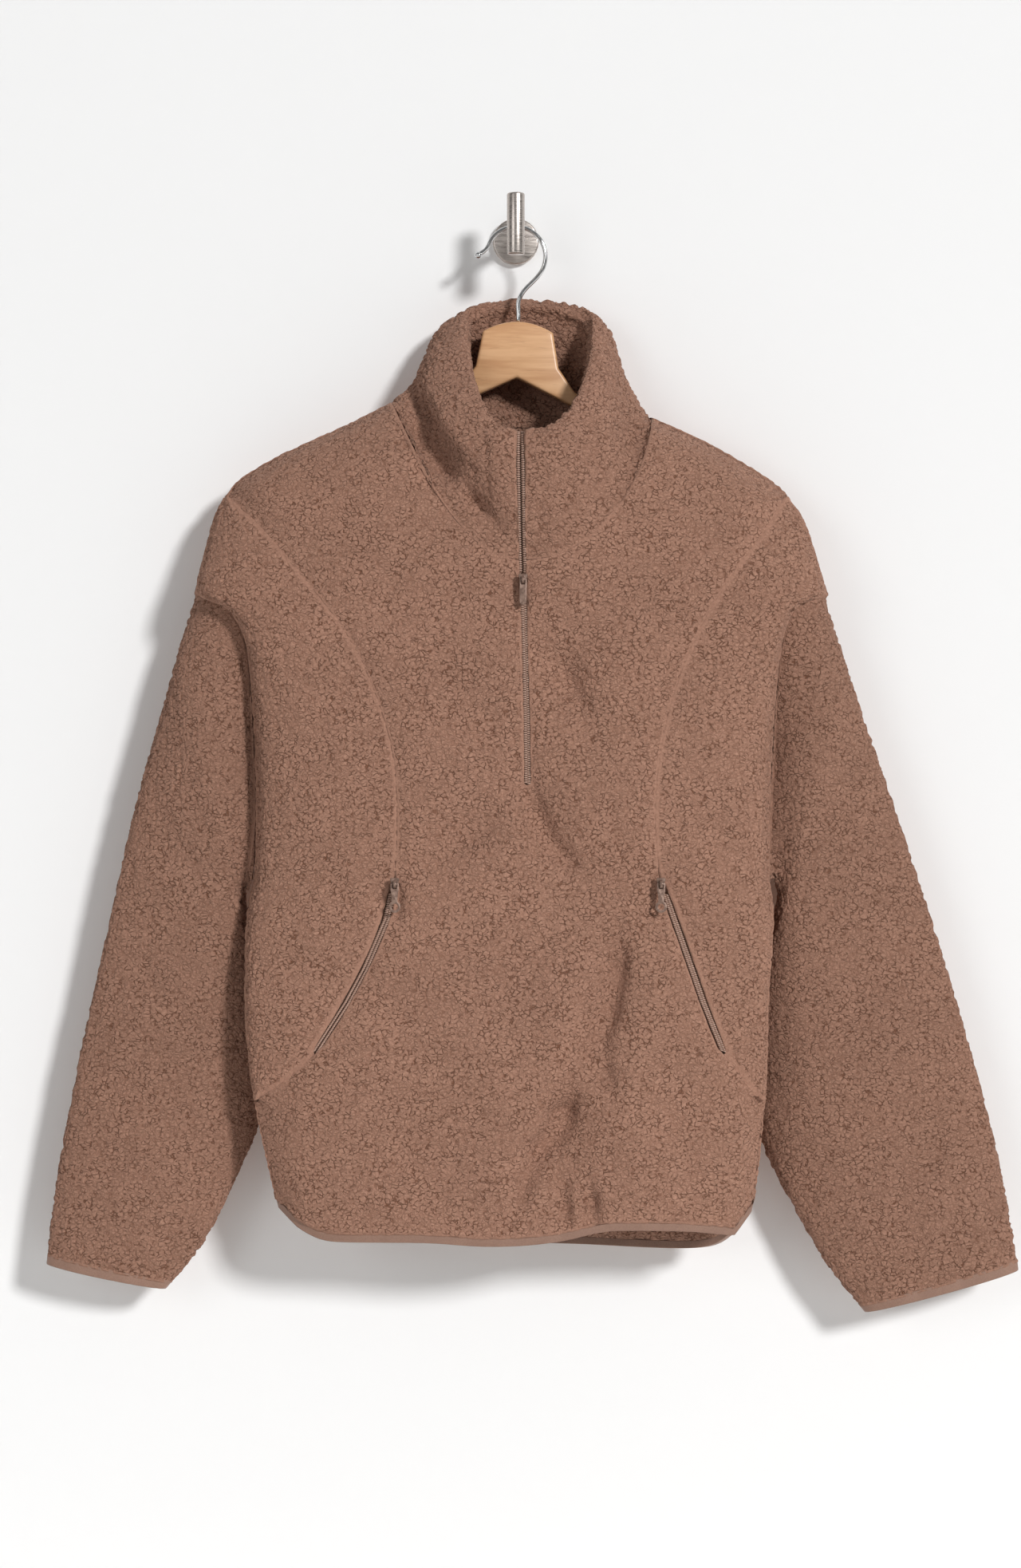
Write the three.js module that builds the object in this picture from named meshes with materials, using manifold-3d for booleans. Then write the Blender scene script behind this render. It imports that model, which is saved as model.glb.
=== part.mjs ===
// Sherpa fleece half-zip pullover on a wooden hanger, hung on a wall hook.
// Millimetres, +Z up, +X to the viewer's right. The wall is the plane y = 0 and the garment hangs at y < 0.
// The origin is the middle of the wall plate's back face.
// "drop" is a distance below the origin, "out" is a distance out from the wall.

import * as THREE from 'three';
import Module from 'manifold-3d';

const wasm = await Module();
wasm.setup();

// Cloth and sewing
const WALL = 5.5; // sherpa with its pile
const COLLAR_WALL = 10; // sherpa folded double
const BINDING_WALL = 4.6;
const BINDING = 9; // height of the elastic binding at the cuffs
const HEM_BINDING = 6; // height of the binding below the pile at the hem
const BINDING_INSET = 0.6; // binding lies this far under the pile
const SEAM = 0.3; // gap between sewn pieces
const PRESS = 2.2; // how far the stitching presses the pile down at panel seams and zips
const BINDING_GAP = 0.6; // gap above the binding, measured along the cloth
const TURN_GAP = 0.45; // gap where the cloth turns at the neckline and the armholes
const ARM_CLEAR = 1.1; // how far a sleeve's seam stands off the body
const BEVEL = 1.5; // how far a seam's inside edge is trimmed back where two walls turn together
const SLEEVE_SQUARE = 2.2;
const COLLAR_SQUARE = 2.25;

// Heights where panels meet
const ARM_TOP = 278; // sleeve seam at the dropped shoulder
const ARM_BOTTOM = 498; // underarm
const PANEL_TOP = 200; // panel seam leaves the shoulder seam
const PANEL_BOTTOM = 664; // panel seam reaches the side seam
const PANEL_TIP = 2.5; // side panel stops this far short of both
const POCKET_TOP = 494;
const POCKET_BOTTOM = 627;
const POCKET_GAP = 7;
const POCKET_END = 3; // length over which the pocket's mouth opens and closes
const HEM = 767;

// Half zip
const ZIP_TOP = 158;
const ZIP_BOTTOM = 425;
const ZIP_TOP_X = 3.4;
const ZIP_BOTTOM_X = 8.6;
const ZIP_GAP = 6;
const ZIP_SPREAD = 3; // extra gap at the collar's top edge
const TAPE = 1.2;
const TAPE_GAP = 1; // tape lies this far behind the cloth
const TAPE_MARGIN = 9; // part of the tape sewn behind the cloth
const POCKET_LAP = 2; // pocket tape reaches this far past the pocket's ends
const SLIDER_DROP = 270;

// Neckline: shoulder points, front and back middle
const NECK = {
  left: { x: -97, drop: 130, power: 2.2 },
  right: { x: 105, drop: 141, power: 1.2 },
  frontDrop: 255,
  backDip: 11,
  backPower: 4,
  backSlack: 1.2,
  backX: 6,
};

// Number of cells in the cloth's grids
const HALF_COLUMNS = 11;
const SIDE_COLUMNS = 6;
const BACK_COLUMNS = 14;
const SHOULDER_ROWS = 5;
const SLEEVE_ROWS = 17;
const COLLAR_ROWS = 13;
const TAPE_ROWS = 11;
const SIDE_ROWS = { shoulder: 4, armhole: 8, side: 9, upper: 15, pocket: 5, lower: 2 };
const ZIP_LOWER_ROWS = 11;
const LOWER_ROWS = 5;

// How the cloth's shapes fade and spread
const FOLD_END = 0.35; // share of its depth a fold keeps at its ends
const FOLD_EDGE_POWER = 8; // folds die out this sharply at a panel's edges
const ROW_FADE = 2; // how quickly rows lose the neckline's or hem's curve
const BACK_FADE = 1.5;
const EVEN_REACH = 1; // rows to each side over which the front's rows are evened out
const SAG = 1.7; // how the front's rows hang between the side and the middle
const TIP_SPREAD = 3; // the panel seam's gap widens by this share at its pointed ends
const TIP_REACH = 25; // length of that widening
const COLLAR_GROW = [0.4, 0.8]; // share of the collar's height over which its wall gets thicker

function table(names, rows) {
  const keys = names.split(' ');
  return rows.map((row) => Object.fromEntries(keys.map((key, i) => [key, row[i]])));
}

// Cross-sections of the body, from the neck to the hem. Above the underarm the edges are the shoulder seam
// and then the armhole, whose front and back branches stand apart. A section with square 2 is an ellipse.
const BODY = table('drop left right front back edgeFront edgeBack square', [
  [130, -97, 82, 76, 15, 40, 40, 2.3],
  [141, -118, 105, 79, 13.5, 40, 40, 2.3],
  [155, -149, 137, 83, 12, 40, 40, 2.3],
  [170, -183, 166, 86, 11, 40, 40, 2.3],
  [185, -209, 190, 88, 10, 40, 40, 2.35],
  [200, -226, 211, 90, 9.5, 40, 40, 2.4],
  [220, -234, 223, 92, 9, 40, 40, 2.6],
  [245, -240, 231, 94, 9, 40, 40, 3.4],
  [266, -246, 237, 95, 9, 40, 40, 4.4],
  [278, -250, 241, 96, 9, 40, 40, 4.6],
  [282, -240, 231, 96.5, 9, 60, 28, 4.6],
  [288, -222, 214, 97, 9, 69, 23, 4.6],
  [306, -207.5, 205, 98, 10, 69, 23, 4.4],
  [335, -204, 201, 99, 10.5, 63, 28, 3.6],
  [390, -200.5, 197, 102, 11.5, 60, 34, 3.1],
  [445, -199, 195, 104, 12.5, 61, 37, 2.9],
  [478, -199.5, 194.5, 105.3, 13.1, 63, 45, 2.9],
  [498, -200, 194, 106, 13.5, 60, 60, 2.9],
  [514, -205, 197.5, 106.4, 13.8, 67, 67, 2.9],
  [540, -206, 196, 107, 14.5, 77, 77, 2.9],
  [585, -206, 192, 109, 16, 84, 84, 2.9],
  [640, -202, 190.5, 111, 18, 86, 86, 2.9],
  [700, -191, 185.5, 114, 20, 86, 86, 2.7],
  [735, -183, 181.5, 115, 21, 85, 85, 2.6],
  [785, -170, 171, 116, 22, 84, 84, 2.4],
]);

// How much higher the hem hangs than its lowest line, across the front and the back from the left to the right.
const HEM_LINE = table('u front back', [
  [-1, 23, 23],
  [-0.85, 15.5, 13],
  [-0.67, 3.5, 0],
  [-0.58, -0.5, -5],
  [-0.2, 0, -9],
  [-0.04, -3, -11],
  [0.1, 2, -12],
  [0.2, 9, -13],
  [0.37, 8.5, -15],
  [0.58, 6.5, -14],
  [0.7, 2.5, -11],
  [0.8, 4, 0],
  [1, 20, 20],
]);

// Curved seam between the front's middle and its sides. It runs along the pocket's mouth too.
const PANEL_SEAM = table('drop left right', [
  [204, -222, 207],
  [217, -205, 200],
  [232, -191, 189],
  [259, -167, 167],
  [288, -143, 148],
  [313, -125, 135],
  [344, -110, 122.5],
  [374, -99, 113.5],
  [404, -91.5, 107.5],
  [446, -89, 104.5],
  [494, -90.5, 108],
  [525, -97, 119],
  [562, -113, 132],
  [588, -127, 141],
  [627, -152, 157],
  [645, -171, 173],
  [660, -196, 185],
]);

// Folds: a line on the cloth, how far the fold reaches to each side and how deep it is.
const FOLD_COLUMNS = 'x0 drop0 x1 drop1 width depth';
const FRONT_FOLDS = table(FOLD_COLUMNS, [
  [10, 426, 46, 486, 11, 8],
  [76, 550, 58, 636, 13, 10],
  [43, 652, 31, 726, 13, 12],
  [33, 676, 8, 714, 10, 5],
  [24, 318, 58, 380, 12, 7],
  [-4, 434, -78, 490, 15, 6],
  [92, 640, 84, 735, 18, -6],
  [-14, 656, -6, 735, 20, -5],
  [44, 560, 30, 640, 16, -4],
  [-120, 560, -60, 640, 20, 4],
]);
const BACK_FOLDS = table(FOLD_COLUMNS, [
  [-62, 250, -82, 690, 26, 7],
  [78, 300, 64, 720, 24, 8],
  [6, 190, 0, 420, 30, -5],
  [4, 520, 12, 745, 28, 6],
]);

// Sleeves: outer and inner edge of each cross-section from the armhole to the cuff, and its front and back.
const SLEEVE_COLUMNS = 'outerX outerDrop innerX innerDrop outerOut innerOut front back';
const SLEEVES = {
  left: table(SLEEVE_COLUMNS, [
    [-259, 314, -207.5, 512, 43, 48, 71, 12],
    [-270, 355, -202.5, 532, 44, 38, 69, 9],
    [-287, 412, -195, 563, 45, 33, 66, 8],
    [-303, 478, -190, 603, 46, 31, 63, 8],
    [-318, 548, -189, 648, 46, 31, 61, 8.5],
    [-334, 618, -197, 690, 46, 33, 60, 9],
    [-349, 694, -216, 731, 46, 38, 60, 12],
    [-358, 752, -238, 777, 46, 42, 60, 18],
    [-361, 783, -262, 805, 46, 45, 60, 22],
  ]),
  right: table(SLEEVE_COLUMNS, [
    [250, 314, 201, 512, 43, 48, 71, 12],
    [263, 355, 195.5, 533, 44, 38, 69, 9],
    [283, 412, 188, 566, 45, 33, 66, 8],
    [305, 478, 183, 608, 46, 31, 63, 8],
    [328, 548, 182, 656, 46, 31, 61, 8.5],
    [350, 622, 188, 703, 46, 33, 60, 9],
    [370, 697, 211, 747, 46, 38, 60, 12],
    [382, 757, 238, 795, 46, 42, 60, 18],
    [386, 788, 262, 823, 46, 45, 60, 22],
  ]),
};

// Collar: cross-sections by how far up the collar they are. Sides, front middle and back middle.
// The powers shape how each side falls from the shoulder to the front middle.
const COLLAR_COLUMNS =
  'left right leftDrop rightDrop sideOut front frontDrop back backDrop leftPower rightPower';
const COLLAR = table(COLLAR_COLUMNS, [
  [-88, 97, 119, 129, 40, 102, 231, 11, 123, 2, 1.2],
  [-79, 89, 109, 117, 39, 107, 206, 10, 99, 1.7, 1.1],
  [-71, 83, 96, 102, 38, 109, 184, 10.5, 75, 1.4, 1],
  [-61, 76, 77, 80, 38, 109, 168, 12, 56, 1.2, 1],
  [-38, 60, 62, 65, 40, 104, ZIP_TOP, 17, 48, 1.1, 1],
]);
const COLLAR_TURN_SIZE = 1.3; // millimetres for each degree round the collar
const COLLAR_RISE_SIZE = 100; // millimetres from its seam to its top edge
const COLLAR_FOLDS = table('turn0 rise0 turn1 rise1 width depth', [
  [84, 0.3, 30, 0.38, 12, 16],
  [80, 0.56, 34, 0.6, 20, -5],
  [24, 0.46, 8, 0.12, 10, 8],
  [318, 0.1, 306, 0.75, 15, -3],
]);

// Hanger and wall hook
const HANGER_X = 2;
const HANGER_OUT = 40;
const HANGER_THICK = 12;
const HANGER_TILT = 1.8; // degrees, right end lower
const HANGER_TOP = 68;
const HANGER_NOTCH = 111;
const HANGER_UNDERSIDE_SLOPE = 0.48;
const HANGER_HALF = 203;
const HANGER_EDGE = 1.5;
const SHOULDER_SLOPE = 0.52;
const HANGER_REST = 3.5; // gap between the wood and the cloth that rests on it
const NECK_BLOCK = table('x drop', [
  [27, 76],
  [32, 103],
  [45, 121],
  [72, 137],
  [98, 150],
]);
const ARM_PLACES = [115, 135, 160, 188];
const WIRE = 1.9;
const WIRE_LOOP = 23;
const WIRE_TIP = 3;
const WIRE_TURN = { from: 165, to: -45, points: 12 }; // degrees round the loop
const WIRE_FLARE = { x: 6, raise: 1 }; // how far the tip stands off the loop
const WIRE_BEND = { x: 4, drop: 44 };
const WIRE_SHANK = [52, 60]; // heights at which the shank is straight
const WIRE_STEPS = 36;
const PLATE_RADIUS = 18;
const PLATE = 6;
const STEEL_EDGE = 0.9; // bevel on the plate and the bar
const STEM_RADIUS = 3.5;
const BAR_RADIUS = 6.8;
const BAR_LENGTH = 47;
const BAR_OUT = 58;
const BAR_RAISE = 4.8;
const ROUND = 28; // facets round the steel parts

// Zip sliders and pull tabs
const SLIDER = { width: 7, height: 9.5, depth: 3.2, lift: 0.5, edge: 0.4 };
const SLIDER_WAIST = { foot: 2.6, middle: 2.1, corner: 1.4 };
// The keel is the part of a slider that reaches down to the tape.
const KEEL = { width: 2.6, height: 5, clear: 0.6, root: 1, low: 1.4 };
const STAPLE = { width: 2, leg: 1.2, inside: 1.7, axis: 1.3, root: 0.6 };
const TAB = { thick: 1.4, bar: 0.65, top: 3.1, fork: 4.5, waist: 2.1, neck: 7.5, length: 17 };
const TAB_WINDOW = { width: 3.2, end: 3.5 };
const TAB_RING = { outer: 4.4, inner: 2.5 };
const PLAIN_TAB = { width: 5.2, length: 19 };

const MATERIALS = {
  sherpa: new THREE.MeshStandardMaterial({ color: 0x94705f, roughness: 0.95, metalness: 0 }),
  binding: new THREE.MeshStandardMaterial({ color: 0x9a7868, roughness: 0.8, metalness: 0 }),
  tape: new THREE.MeshStandardMaterial({ color: 0x846455, roughness: 0.8, metalness: 0 }),
  zip_metal: new THREE.MeshStandardMaterial({ color: 0x8d6f60, roughness: 0.4, metalness: 0.6 }),
  wood: new THREE.MeshStandardMaterial({ color: 0xcfa480, roughness: 0.5, metalness: 0 }),
  chrome: new THREE.MeshStandardMaterial({ color: 0xd8d8d8, roughness: 0.15, metalness: 1 }),
  steel: new THREE.MeshStandardMaterial({ color: 0xaca29c, roughness: 0.35, metalness: 1 }),
};

const { lerp, smoothstep, degToRad } = THREE.MathUtils;
const place = (x, out, drop) => new THREE.Vector3(x, -out, -drop);
const spread = (from, to, count) => Array.from({ length: count }, (_, i) => lerp(from, to, i / (count - 1)));
const raise = (value, power) => Math.sign(value) * Math.abs(value) ** power;
const EDGE = { left: -1, right: 1 };

// Value of a table's column, on a smooth curve through its rows that doesn't overshoot them.
function valueAt(rows, key, by, at) {
  const last = rows.length - 1;
  if (at <= rows[0][by]) return rows[0][key];
  if (at >= rows[last][by]) return rows[last][key];
  const i = rows.findIndex((row) => row[by] > at) - 1;
  const span = (k) => rows[k + 1][by] - rows[k][by];
  const slope = (k) => (rows[k + 1][key] - rows[k][key]) / span(k);
  const tangent = (k) => {
    if (k === 0) return slope(0);
    if (k === last) return slope(last - 1);
    const [before, after] = [slope(k - 1), slope(k)];
    return before * after <= 0 ? 0 : (2 * before * after) / (before + after);
  };
  const t = (at - rows[i][by]) / span(i);
  const bend = t * (1 - t) * span(i);
  const ease = t * t * (3 - 2 * t);
  const line = lerp(rows[i][key], rows[i + 1][key], ease);
  return line + bend * ((1 - t) * tangent(i) - t * tangent(i + 1));
}

// Depth of the folds at a place: a soft trough along each fold's line, fading at its ends.
function foldDepth(folds, x, drop) {
  let depth = 0;
  for (const fold of folds) {
    const [dx, dd] = [fold.x1 - fold.x0, fold.drop1 - fold.drop0];
    const t = ((x - fold.x0) * dx + (drop - fold.drop0) * dd) / (dx * dx + dd * dd);
    const near = THREE.MathUtils.clamp(t, 0, 1);
    const away = Math.hypot(x - fold.x0 - near * dx, drop - fold.drop0 - near * dd);
    const ends = lerp(FOLD_END, 1, Math.sin(Math.PI * near));
    depth += fold.depth * ends * Math.exp(-((away / fold.width) ** 2));
  }
  return depth;
}

// The body's surface: u runs from the left edge (-1) to the right edge (1) of the front or the back.
function bodyPoint(side, u, drop, gap = SEAM) {
  const left = valueAt(BODY, 'left', 'drop', drop);
  const right = valueAt(BODY, 'right', 'drop', drop);
  const face = valueAt(BODY, side, 'drop', drop);
  const isFront = side === 'front';
  const branch = isFront || drop >= ARM_BOTTOM ? 'edgeFront' : 'edgeBack';
  const edge = valueAt(BODY, branch, 'drop', drop) + (isFront ? gap : -gap) / 2;
  const angle = (u * Math.PI) / 2;
  const power = 2 / valueAt(BODY, 'square', 'drop', drop);
  const x = (left + right) / 2 + ((right - left) / 2) * raise(Math.sin(angle), power);
  const flat = 1 - u ** FOLD_EDGE_POWER;
  const fold = foldDepth(isFront ? FRONT_FOLDS : BACK_FOLDS, x, drop) * flat;
  const out = edge + (face - edge) * raise(Math.max(0, Math.cos(angle)), power);
  return place(x, isFront ? out - fold : out + fold, drop);
}

// The u at which the body's surface has a given x.
function uAt(x, drop) {
  const left = valueAt(BODY, 'left', 'drop', drop);
  const right = valueAt(BODY, 'right', 'drop', drop);
  const t = THREE.MathUtils.clamp((x - (left + right) / 2) / ((right - left) / 2), -1, 1);
  const square = valueAt(BODY, 'square', 'drop', drop);
  return (Math.asin(raise(t, square / 2)) * 2) / Math.PI;
}

// Outward normal of the body's surface, shared by the panels that meet at a seam.
function bodyNormal(side, u, drop) {
  const [du, dd] = [0.004, 1.5];
  const across = bodyPoint(side, Math.min(1, u + du), drop).sub(bodyPoint(side, Math.max(-1, u - du), drop));
  const down = bodyPoint(side, u, drop + dd).sub(bodyPoint(side, u, drop - dd));
  const normal = across.cross(down).normalize();
  return side === 'front' ? normal.negate() : normal;
}

const zipX = (drop) => lerp(ZIP_TOP_X, ZIP_BOTTOM_X, smoothstep(drop, ZIP_TOP, ZIP_BOTTOM));
const zipHalf = (drop) => ZIP_GAP / 2 + (ZIP_SPREAD / 2) * (1 - smoothstep(drop, ZIP_TOP, NECK.frontDrop));
const zipEdge = (side, drop) => zipX(drop) + EDGE[side] * zipHalf(drop);

const hemDrop = (side, u) => HEM - valueAt(HEM_LINE, side, 'u', u);

// Neckline by the angle round it: 0 at the zip's left edge, 90 and 270 at the shoulder points, 180 at the back.
function neckline(turn) {
  const side = turn <= 180 ? 'left' : 'right';
  const point = NECK[side];
  const [sin, cos] = [Math.abs(Math.sin(degToRad(turn))), Math.abs(Math.cos(degToRad(turn)))];
  if (turn === 90 || turn === 270) return { side: 'front', u: EDGE[side], drop: point.drop };
  if (turn > 90 && turn < 270) {
    const x = lerp(NECK.backX, point.x, sin);
    const level = lerp(NECK.left.drop, NECK.right.drop, (turn - 90) / 180);
    const drop = level + NECK.backDip * (1 - sin ** NECK.backPower) + NECK.backSlack * cos;
    return { side: 'back', u: uAt(x, drop), drop };
  }
  const drop = lerp(point.drop, NECK.frontDrop, cos ** point.power);
  return { side: 'front', u: uAt(lerp(zipEdge(side, drop), point.x, sin), drop), drop };
}

// A closed wall: outer points, the inside points that go with them, and the rim round every open edge.
class Wall {
  constructor() {
    this.outer = [];
    this.inner = [];
    this.faces = [];
    this.known = new Map();
  }

  add(outer, inner) {
    const key = outer.toArray().map((value) => value.toFixed(3)).join(' ');
    if (!this.known.has(key)) {
      this.known.set(key, this.outer.length);
      this.outer.push(outer);
      this.inner.push(inner);
    }
    return this.known.get(key);
  }

  // Rows of point pairs become two triangles a cell. Cells for which skip is true are left open.
  grid(rows, { closed = false, skip = () => false } = {}) {
    const ids = rows.map((row) => row.map(({ outer, inner }) => this.add(outer, inner)));
    const faces = [];
    for (let r = 0; r + 1 < ids.length; r += 1) {
      const columns = ids[r].length - (closed ? 0 : 1);
      for (let c = 0; c < columns; c += 1) {
        if (skip(r, c)) continue;
        const n = (c + 1) % ids[r].length;
        const [a, b, d, e] = [ids[r][c], ids[r][n], ids[r + 1][n], ids[r + 1][c]];
        faces.push([a, b, d], [a, d, e]);
      }
    }
    const whole = faces.filter(([a, b, c]) => a !== b && b !== c && c !== a);
    const facing = whole.reduce((sum, face) => sum + this.facing(face), 0);
    this.faces.push(...(facing < 0 ? whole.map(([a, b, c]) => [a, c, b]) : whole));
  }

  facing([a, b, c]) {
    const [p, q, r] = [this.outer[a], this.outer[b], this.outer[c]];
    const normal = q.clone().sub(p).cross(r.clone().sub(p));
    return Math.sign(normal.dot(p.clone().sub(this.inner[a])));
  }

  // Which end of a rim edge comes first. Both sides of a seam are split the same way.
  isBefore(a, b) {
    const [p, q] = [this.outer[a], this.outer[b]];
    const apart = [q.z - p.z, q.x - p.x, q.y - p.y].find((value) => Math.abs(value) > 2 * SEAM);
    return apart > 0;
  }

  geometry() {
    const count = this.outer.length;
    const edges = new Set(this.faces.flatMap(([a, b, c]) => [`${a} ${b}`, `${b} ${c}`, `${c} ${a}`]));
    const index = [];
    for (const face of this.faces) {
      const [a, b, c] = face;
      index.push(a, b, c, a + count, c + count, b + count);
      for (const [from, to] of [[a, b], [b, c], [c, a]]) {
        if (edges.has(`${to} ${from}`)) continue;
        if (this.isBefore(from, to)) index.push(to, from, to + count, from, from + count, to + count);
        else index.push(to, from, from + count, to, from + count, to + count);
      }
    }
    const geometry = new THREE.BufferGeometry();
    geometry.setFromPoints([...this.outer, ...this.inner]);
    geometry.setIndex(index);
    geometry.computeVertexNormals();
    return geometry;
  }
}

// Point pair on the body: the cloth's outside and inside, or a layer at other depths.
function bodyPair(side, u, drop, from = 0, to = WALL) {
  const point = bodyPoint(side, u, drop);
  const normal = bodyNormal(side, u, drop);
  return {
    outer: point.clone().addScaledVector(normal, -from),
    inner: point.clone().addScaledVector(normal, -to),
  };
}

// Inside points for a grid of outer points, moved in along the grid's own normals.
function pairs(points, wallOf, closed, inset = 0) {
  const rows = points.length;
  const columns = points[0].length;
  const at = (r, c) => {
    const column = closed ? (c + columns) % columns : THREE.MathUtils.clamp(c, 0, columns - 1);
    return points[THREE.MathUtils.clamp(r, 0, rows - 1)][column];
  };
  return points.map((row, r) => row.map((point, c) => {
    const across = at(r, c + 1).clone().sub(at(r, c - 1));
    const along = at(r + 1, c).clone().sub(at(r - 1, c));
    const normal = along.cross(across).normalize();
    return {
      outer: point.clone().addScaledVector(normal, -inset),
      inner: point.clone().addScaledVector(normal, -inset - wallOf(r)),
    };
  }));
}

// Heights of the points that neighbouring panels share
const ARM_STEPS = [0, 4, 10]; // close rows where the armhole turns at its top
const ARM_STRAIGHT = 28;
const ARMHOLE = [
  ...ARM_STEPS.map((step) => ARM_TOP + step),
  ...spread(ARM_TOP + ARM_STRAIGHT, ARM_BOTTOM, SIDE_ROWS.armhole + 1),
];
const SIDE_EDGE = [
  ...spread(PANEL_TOP + PANEL_TIP, ARM_TOP, SIDE_ROWS.shoulder + 1).slice(0, -1),
  ...ARMHOLE,
  ...spread(ARM_BOTTOM, PANEL_BOTTOM - PANEL_TIP, SIDE_ROWS.side + 1).slice(1),
];
const SIDE_SEAM = [
  ...spread(PANEL_TOP + PANEL_TIP, POCKET_TOP, SIDE_ROWS.upper + 1),
  ...spread(POCKET_TOP + POCKET_END, POCKET_BOTTOM - POCKET_END, SIDE_ROWS.pocket + 1),
  ...spread(POCKET_BOTTOM, PANEL_BOTTOM - PANEL_TIP, SIDE_ROWS.lower + 1),
];
const ZIP_ROWS = SHOULDER_ROWS + 1 + ZIP_LOWER_ROWS;

const hemEdge = (side, u) => hemDrop(side, u) - HEM_BINDING - BINDING_GAP;
const lowerEdge = (u) => spread(PANEL_BOTTOM, hemEdge('front', u), LOWER_ROWS + 1);
const shoulderEdge = (side) => spread(NECK[side].drop, PANEL_TOP, SHOULDER_ROWS + 1);

// Place on the panel seam, toward the front's middle (inward 1) or its side (inward -1).
function seamPlace(side, drop, inward) {
  const inPocket = drop > POCKET_TOP && drop < POCKET_BOTTOM;
  const fromTip = Math.min(drop - PANEL_TOP, PANEL_BOTTOM - drop) - PANEL_TIP;
  const half = (inPocket ? POCKET_GAP : SEAM * (1 + TIP_SPREAD * Math.max(0, 1 - fromTip / TIP_REACH))) / 2;
  const x = valueAt(PANEL_SEAM, side, 'drop', drop) - EDGE[side] * inward * half;
  return { x, drop };
}

// Front middle: a left and a right half that part at the zip and share the middle line below it.
function frontHalf(side) {
  const edgeX = (drop) => valueAt(BODY, side, 'drop', drop);
  const edge = [
    ...shoulderEdge(side).map((drop) => ({ x: edgeX(drop), drop })),
    ...SIDE_SEAM.map((drop) => seamPlace(side, drop, 1)),
    ...lowerEdge(EDGE[side]).map((drop) => ({ x: edgeX(drop), drop })),
  ];
  const last = edge.length - 1;
  const lowest = hemEdge('front', uAt(ZIP_BOTTOM_X, HEM));
  const middle = [
    ...spread(NECK.frontDrop, ZIP_BOTTOM, ZIP_ROWS + 1).map((drop) => ({ x: zipEdge(side, drop), drop })),
    ...spread(ZIP_BOTTOM, lowest, last - ZIP_ROWS + 1).slice(1).map((drop) => ({ x: ZIP_BOTTOM_X, drop })),
  ];
  // Inside the panel the rows start from evenly spaced places near its edge.
  const even = edge.map((_, r) => {
    const reach = Math.min(EVEN_REACH, r, last - r);
    const near = edge.slice(r - reach, r + reach + 1);
    const mean = (key) => near.reduce((sum, point) => sum + point[key], 0) / near.length;
    return { x: mean('x'), drop: mean('drop') };
  });
  return edge.map((_, r) => spread(0, 1, HALF_COLUMNS + 1).map((t) => {
    const start = t === 0 ? edge[r] : even[r];
    const end = middle[r];
    const sag = t ** SAG;
    const turn = 90 * (1 - t);
    const neck = neckline(side === 'left' ? turn : 360 - turn);
    const neckX = bodyPoint('front', neck.u, neck.drop).x;
    const topFade = Math.max(0, 1 - r / ZIP_ROWS) ** ROW_FADE;
    const hemFade = Math.max(0, 1 - (last - r) / LOWER_ROWS) ** ROW_FADE;
    const topX = neckX - lerp(edge[0].x, middle[0].x, t);
    const topDrop = neck.drop - lerp(edge[0].drop, middle[0].drop, sag);
    const x = lerp(start.x, end.x, t) + topX * topFade;
    const hemLine = hemEdge('front', uAt(x, HEM)) - lerp(edge[last].drop, middle[last].drop, sag);
    const drop = lerp(start.drop, end.drop, sag) + topDrop * topFade + hemLine * hemFade;
    const onPanelSeam = t === 0 && r > SHOULDER_ROWS && r <= SHOULDER_ROWS + SIDE_SEAM.length;
    const onZip = t === 1 && r <= ZIP_ROWS;
    return bodyPair('front', uAt(x, drop), drop, onPanelSeam || onZip ? PRESS : 0);
  }));
}

function frontCentre() {
  const left = frontHalf('left');
  const right = frontHalf('right');
  const rows = left.map((row, r) => [...row, ...right[r].slice().reverse()]);
  const wall = new Wall();
  wall.grid(rows, { skip: (r, c) => c === HALF_COLUMNS && r < ZIP_ROWS });
  return wall.geometry();
}

// Front side: a leaf between the panel seam and the shoulder, armhole and side edge.
function frontSide(side) {
  const rows = SIDE_EDGE.map((drop, r) => {
    const end = seamPlace(side, SIDE_SEAM[r], -1);
    const endU = uAt(end.x, end.drop);
    return spread(0, 1, SIDE_COLUMNS + 1).map((t) => {
      return bodyPair('front', lerp(EDGE[side], endU, t), lerp(drop, end.drop, t), t === 1 ? PRESS : 0);
    });
  });
  const wall = new Wall();
  wall.grid(rows);
  return wall.geometry();
}

function backPanel() {
  const edgeOf = (side) => [
    ...shoulderEdge(side),
    ...SIDE_EDGE,
    ...lowerEdge(EDGE[side]),
  ];
  const [left, right] = [edgeOf('left'), edgeOf('right')];
  const last = left.length - 1;
  const neckRows = SHOULDER_ROWS + 2;
  const rows = left.map((start, r) => spread(0, 1, BACK_COLUMNS + 1).map((t) => {
    const neck = neckline(90 + 180 * t);
    const topFade = Math.max(0, 1 - r / neckRows) ** BACK_FADE;
    const hemFade = Math.max(0, 1 - (last - r) / LOWER_ROWS) ** ROW_FADE;
    const u = lerp(lerp(-1, 1, t), neck.u, topFade);
    const hemLine = hemEdge('back', u) - lerp(left[last], right[last], t);
    const topLine = neck.drop - lerp(left[0], right[0], t);
    return bodyPair('back', u, lerp(start, right[r], t) + topLine * topFade + hemLine * hemFade);
  }));
  const wall = new Wall();
  wall.grid(rows);
  return wall.geometry();
}

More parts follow.
